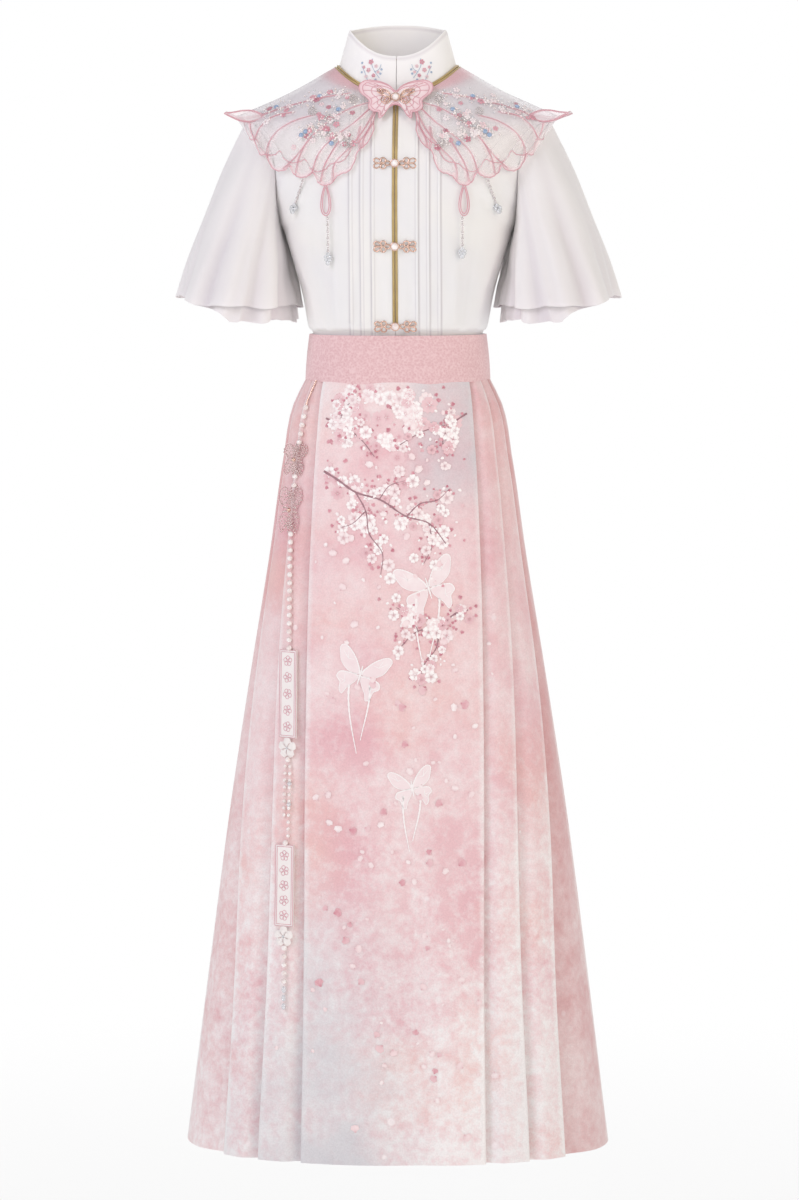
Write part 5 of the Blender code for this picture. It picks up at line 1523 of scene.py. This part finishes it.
FILIGREE = (
    ((4.8, 0.8), (9, 7), (15, 9), (19, 6), (15.5, 1.5), (17, -4), (12, -8), (7, -5), (4.8, -0.8)),
    ((6.4, 1.0), (9.4, 5.0), (13.6, 6.8), (15.8, 5.0), (12.4, 1.6), (8.6, 0.6)),
    ((6.2, -1.0), (8.6, -3.8), (11.8, -5.6), (13.8, -3.6), (11.4, -1.0), (8.4, -0.4)),
    ((15.6, 5.6), (18.0, 9.0), (21.6, 9.0), (21.0, 5.6), (18.0, 4.0)),
)
for name, side in SIDES:
    lines = [[patch_front(side * x, PATCH_MIDDLE + z, 2.6 + 0.4 * i) for x, z in smooth_loop(line, 28)]
             for i, line in enumerate(FILIGREE)]
    settle(cords(f"top_clasp_filigree_{name}", lines, 0.6 * MM, rose_gold, closed=True), "rose_gold_wire",
           f"top_clasp_wing_{name}")
set_pearl("top_clasp", patch_front(0, PATCH_MIDDLE, 6.0), 4.0 * MM, 4.7 * MM, 0.6 * MM, 0.7 * MM)


# Pearl pendant
# A string of pearls hangs from the waistband on the wearer's right: a short chain, two beaded lace
# butterflies, two embroidered plaques and two felt flowers. Nothing is written on the plaques.
PENDANT_LINE = (
    (-54, -95), (-80, -106), (-110, -112), (-150, -118), (-210, -123.5), (-260, -125), (-480, -125.5),
    (-600, -128.5), (-800, -130),
)
PLAQUE_HALF = 12.2
PENDANT_PIECES = (
    ("pendant_strand_1", 75), ("pendant_butterfly_1", 36), ("pendant_strand_2", 14),
    ("pendant_butterfly_2", 53),
    ("pendant_strand_3", 137), ("pendant_plaque_1", 103), ("pendant_flower_1", 23), ("pendant_strand_4", 101),
    ("pendant_plaque_2", 96), ("pendant_flower_2", 23), ("pendant_strand_5", 72),
)


def pendant_at(height, lift, across=0.0):
    """A place on the pendant's line, this far out from the skirt and across it, and the way out. In mm."""
    level = SkirtLevel(height * MM)
    half = len(level.length) // 2
    target = -np.interp(height, *np.array(sorted(PENDANT_LINE), float).T) - across
    outside = 2 * level.gap + SKIRT_WALL + (0.3 + lift) * MM
    line = level.points(level.length[:half], np.full(half, outside))
    along = np.interp(target * MM, line[:, 0], level.length[:half])
    x, y = level.points(np.array([along]), np.array([outside]))[0]
    out = [np.interp(along, level.length, level.normal[:, i]) for i in (0, 1)]
    return Vector((-x, y, height * MM)), Vector((-out[0], out[1], 0))


# Beaded lace: close rows of silver-pink seed beads on net. Beads of 1.5 mm are drawn true.
lace_bead = two_tone("silver_pink_seed_bead", 0.25, 400.0, ("C4A09E", "F0DFDC"), Metallic=0.45,
                     Coat_Weight=0.4)
white_silk, tree, shader = new_material("white_satin_stitch", 0.5, Sheen_Weight=0.3)
rows = add(tree, "ShaderNodeTexWave", {"Vector": add(tree, "ShaderNodeTexCoord").outputs["Object"],
                                       "Scale": 480.0,
                                       "Distortion": 1.0}, bands_direction="Z")
pale = add(tree, "ShaderNodeMix", {0: rows.outputs["Fac"], 6: colour("F5EBE8"), 7: colour("FDF8F5")},
           data_type="RGBA")
link_looks(tree, shader, pale, rows.outputs["Fac"], 0.4)
WING = ((0.0, 1.0), (0.14, 0.76), (0.45, 1.0), (0.88, 0.90), (1.0, 0.45), (0.55, 0.05), (0.85, -0.45),
        (0.64, -0.98), (0.32, -0.80), (0.12, -0.66), (0.0, -1.0))
felt_petals = fan("felt_flower_shape", 5, 0.64, 0.02, dome=0.2)
top = -54.0
strings, lace, plaques, plaque_lines, felt, gold_bits, end_beads = [], [], [], [], [], [], []
chain = []
for name, height in PENDANT_PIECES:
    kind = name.split("_")[1]
    middle = top - height / 2
    place, out = pendant_at(middle, 0)
    aside = Vector((-out.y, out.x, 0))
    up = (pendant_at(top, 0)[0] - pendant_at(top - height, 0)[0]) / height / MM
    if kind == "strand":
        first = top - 1.5
        if name.endswith("1"):
            chain.append([pendant_at(h, 1.6)[0] for h in np.linspace(top, top - 30, 12)])
            first = top - 32
        foot = top - height + 2
        double = name.endswith("4")
        count = max(1, round((first - foot) / (8.0 if double else 9.45)))
        for k in range(count + 1):
            z = first + (foot - first) * k / max(count, 1)
            if double and 0 < k < count:
                for across in (-2.9, 2.9) if k <= 8 else (2.9,):
                    strings.append((pendant_at(z, 2.6, across)[0], out, 0, 2.35 * MM, 0.5))
            elif name.endswith("5") and k >= count - 2:
                end_beads.append((pendant_at(z, 3.4)[0], (0, 0, 1), 0, (2.6 * MM, 2.6 * MM, 4.0 * MM), 0.5))
            else:
                strings.append((pendant_at(z, 3.2)[0], out, 0, 3.3 * MM, 0.5))
            if double and k in (3, 6):
                end_beads.append((pendant_at(z - 3.5, 5.0, 3)[0], out, 0, 2.7 * MM, 0.5))
    elif kind == "butterfly":
        half = [(x * 15.5, z * height / 2) for x, z in WING]
        shape_line = np.array(smooth_loop(half + [(-x, z) for x, z in half[-2:0:-1]], 90))
        aside = (aside + Vector((0.9, 0, 0))).normalized()
        out = Vector((aside.y, -aside.x, 0))
        place = place + out * 4.5 * MM
        for share in (1.0, 0.86, 0.72, 0.56, 0.38, 0.18):
            step = max(1, round(1.9 / max(share, 0.2)))
            for x, z in shape_line[::step] * share:
                spot = place + aside * x * MM + up * z * MM + out * (1.5 + 0.8 * (1 - share)) * MM
                lace.append((spot, out, 0, rng.uniform(0.85, 1.15) * MM, 0.5))
        gold_bits.append((place + out * 3.4 * MM, out, 0, 2.4 * MM, 0.5))
        outline_line = [place + aside * x * MM + up * z * MM + out * 0.9 * MM for x, z in shape_line[::2]]
        plaque_lines.append(outline_line)
    elif kind == "plaque":
        corners = [(PLAQUE_HALF, height / 2), (PLAQUE_HALF, -height / 2), (-PLAQUE_HALF, -height / 2),
                   (-PLAQUE_HALF, height / 2)]
        plaques.append((place, out, aside, up, height))
        for inset in (0.5, 2.6):
            line = []
            for (x0, z0), (x1, z1) in zip(corners, corners[1:] + corners[:1]):
                for t in np.linspace(0, 1, 12, endpoint=False):
                    x, z = x0 + (x1 - x0) * t, z0 + (z1 - z0) * t
                    x, z = x * (1 - inset / PLAQUE_HALF), z * (1 - inset / (height / 2))
                    line.append(place + aside * x * MM + up * z * MM + out * 2.5 * MM)
            plaque_lines.append(line)
        for k, z in enumerate(np.linspace(height / 2 - 13, 13 - height / 2, 5)):
            for petal_turn in range(5):
                t = petal_turn * 2 * math.pi / 5 + k
                line = [place + aside * (3.4 * math.sin(t) + 2.6 * math.sin(a)) * MM
                        + up * (z + 3.4 * math.cos(t) + 2.6 * math.cos(a)) * MM + out * 2.55 * MM
                        for a in np.linspace(0, 2 * math.pi, 10)]
                plaque_lines.append(line)
    else:
        felt.append((place + out * 2.4 * MM, out, 0.0, (height / 2 + 1.2) * MM, 0.5))
        end_beads.append((place + out * 3.0 * MM, out, 0, 1.8 * MM, 0.5))
    top -= height + 0.4
strand_nodes = [name for name, _ in PENDANT_PIECES if "strand" in name]
pendant_bead = ball("pendant_bead_shape", 14, 9)
settle(copies("pendant_pearls", pendant_bead, strings, pearl), "pearl", *strand_nodes)
settle(cords("pendant_chain", chain, 0.9 * MM, rose_gold), "rose_gold_wire")
settle(copies("pendant_lace", bead, lace, lace_bead), "pink_satin_stitch", "pendant_butterfly_1",
       "pendant_butterfly_2")
settle(copies("pendant_gold_beads", bead, gold_bits, rose_gold), "rose_gold_wire")
settle(copies("pendant_crystals", bead, end_beads, crystal, smooth=False), "clear_crystal")
settle(copies("pendant_flowers", felt_petals, felt, white_silk), "white_satin_stitch", "pendant_flower_1",
       "pendant_flower_2")
stitch("pendant_outlines", plaque_lines, 0.42, closed=True)
for number, (place, out, aside, up, height) in enumerate(plaques, start=1):
    grids = []
    for depth in (2.4, 0.1):
        rows = [[tuple(place + aside * x * MM + up * z * MM
                       + out * (depth + 0.25 * math.cos(x / 8) * (depth > 1)) * MM)
                 for x in np.linspace(-PLAQUE_HALF, PLAQUE_HALF, 9)]
                 for z in np.linspace(height / 2, -height / 2, 25)]
        grids.append(np.array(rows))
    settle(cloth_wall(f"pendant_plaque_{number}_silk", grids[0], grids[1], white_silk), "white_satin_stitch",
           f"pendant_plaque_{number}")


# The shapes that were copied and the joined skirt were only helpers.
for helper in (skirt_cloth, blossom, petal, stitched, big_bead, bead, felt_petals, pendant_bead):
    bpy.data.objects.remove(helper)


# Floor, light and camera
# A pale floor that fades out, so that it shows no edge, soft light from all round with two weak lamps over
# and inside the collar, and a camera at the height of the waist. The Standard view keeps white cloth white.
floor_mesh = bpy.data.meshes.new("floor")
floor_mesh.from_pydata([(-6, -6, -1.3), (6, -6, -1.3), (6, 6, -1.3), (-6, 6, -1.3)], [], [(0, 1, 2, 3)])
floor_paper, tree, shader = new_material("pale_paper_floor", 0.9, Specular_IOR_Level=0.0)
place = add(tree, "ShaderNodeTexCoord").outputs["Object"]
reach = add(tree, "ShaderNodeVectorMath", {0: place}, operation="LENGTH")
fade = add(tree, "ShaderNodeMapRange", {"Value": reach.outputs["Value"], "From Min": 1.3, "From Max": 3.0,
                                        "To Min": 0.15, "To Max": 0.0}, interpolation_type="SMOOTHSTEP")
tree.links.new(fade.outputs["Result"], shader.inputs["Alpha"])
shader.inputs["Base Color"].default_value = colour("FCFCFC")
floor_mesh.materials.append(floor_paper)
placed("floor", floor_mesh)

world = bpy.data.worlds.new("studio")
world.use_nodes = True
tree = world.node_tree
split = add(tree, "ShaderNodeSeparateXYZ", {"Vector": add(tree, "ShaderNodeTexCoord").outputs["Generated"]})
dome = add(tree, "ShaderNodeMapRange", {"Value": split.outputs["Z"], "From Min": 0.08, "From Max": 0.45,
                                        "To Min": 1.0, "To Max": 0.36}, interpolation_type="SMOOTHSTEP")
tree.links.new(dome.outputs["Result"], tree.nodes["Background"].inputs["Strength"])
tree.nodes["Background"].inputs["Color"].default_value = (1, 1, 1, 1)
bpy.context.scene.world = world
bpy.context.scene.view_settings.view_transform = "Standard"
for name, spot, target, size, power, tint in (
    ("key_left", (-2.6, -3.0, 2.4), (0, 0, -0.3), 1.6, 60, "F4F1FF"),
    ("fill_right", (3.0, -2.6, 1.4), (0, 0, -0.3), 2.0, 34, "FFF1DE"),
    ("rim_back", (0.6, 3.0, 2.6), (0, 0, -0.3), 2.5, 20, "FFFFFF"),
    ("over_collar", (0.0, -0.12, 0.80), (0, 0, 0.3), 0.25, 0.45, "FFFAF2"),
    ("in_collar", (0.0, -0.03, 0.30), (0, 0.045, 0.36), 0.05, 0.012, "FFFAF0"),
):
    lamp = bpy.data.lights.new(name, "AREA")
    lamp.size = size
    lamp.energy = power
    lamp.color = colour(tint)[:3]
    light = placed(name, lamp)
    light.location = spot
    light.rotation_euler = (Vector(target) - Vector(spot)).to_track_quat("-Z", "Y").to_euler()

CAMERA_AWAY = 5.0
CAMERA_TURN = math.radians(2.0)
CAMERA_HEIGHT = 0.10
AIM = Vector((0.0018, 0, -0.320))
camera_data = bpy.data.cameras.new("camera")
camera_data.sensor_width = 36
camera_data.lens = 18 / (0.72 / CAMERA_AWAY)
camera = placed("camera", camera_data)
camera.location = (CAMERA_AWAY * math.sin(CAMERA_TURN), -CAMERA_AWAY * math.cos(CAMERA_TURN), CAMERA_HEIGHT)
camera.rotation_euler = (AIM - camera.location).to_track_quat("-Z", "Y").to_euler()
bpy.context.scene.camera = camera

bpy.context.view_layer.update()
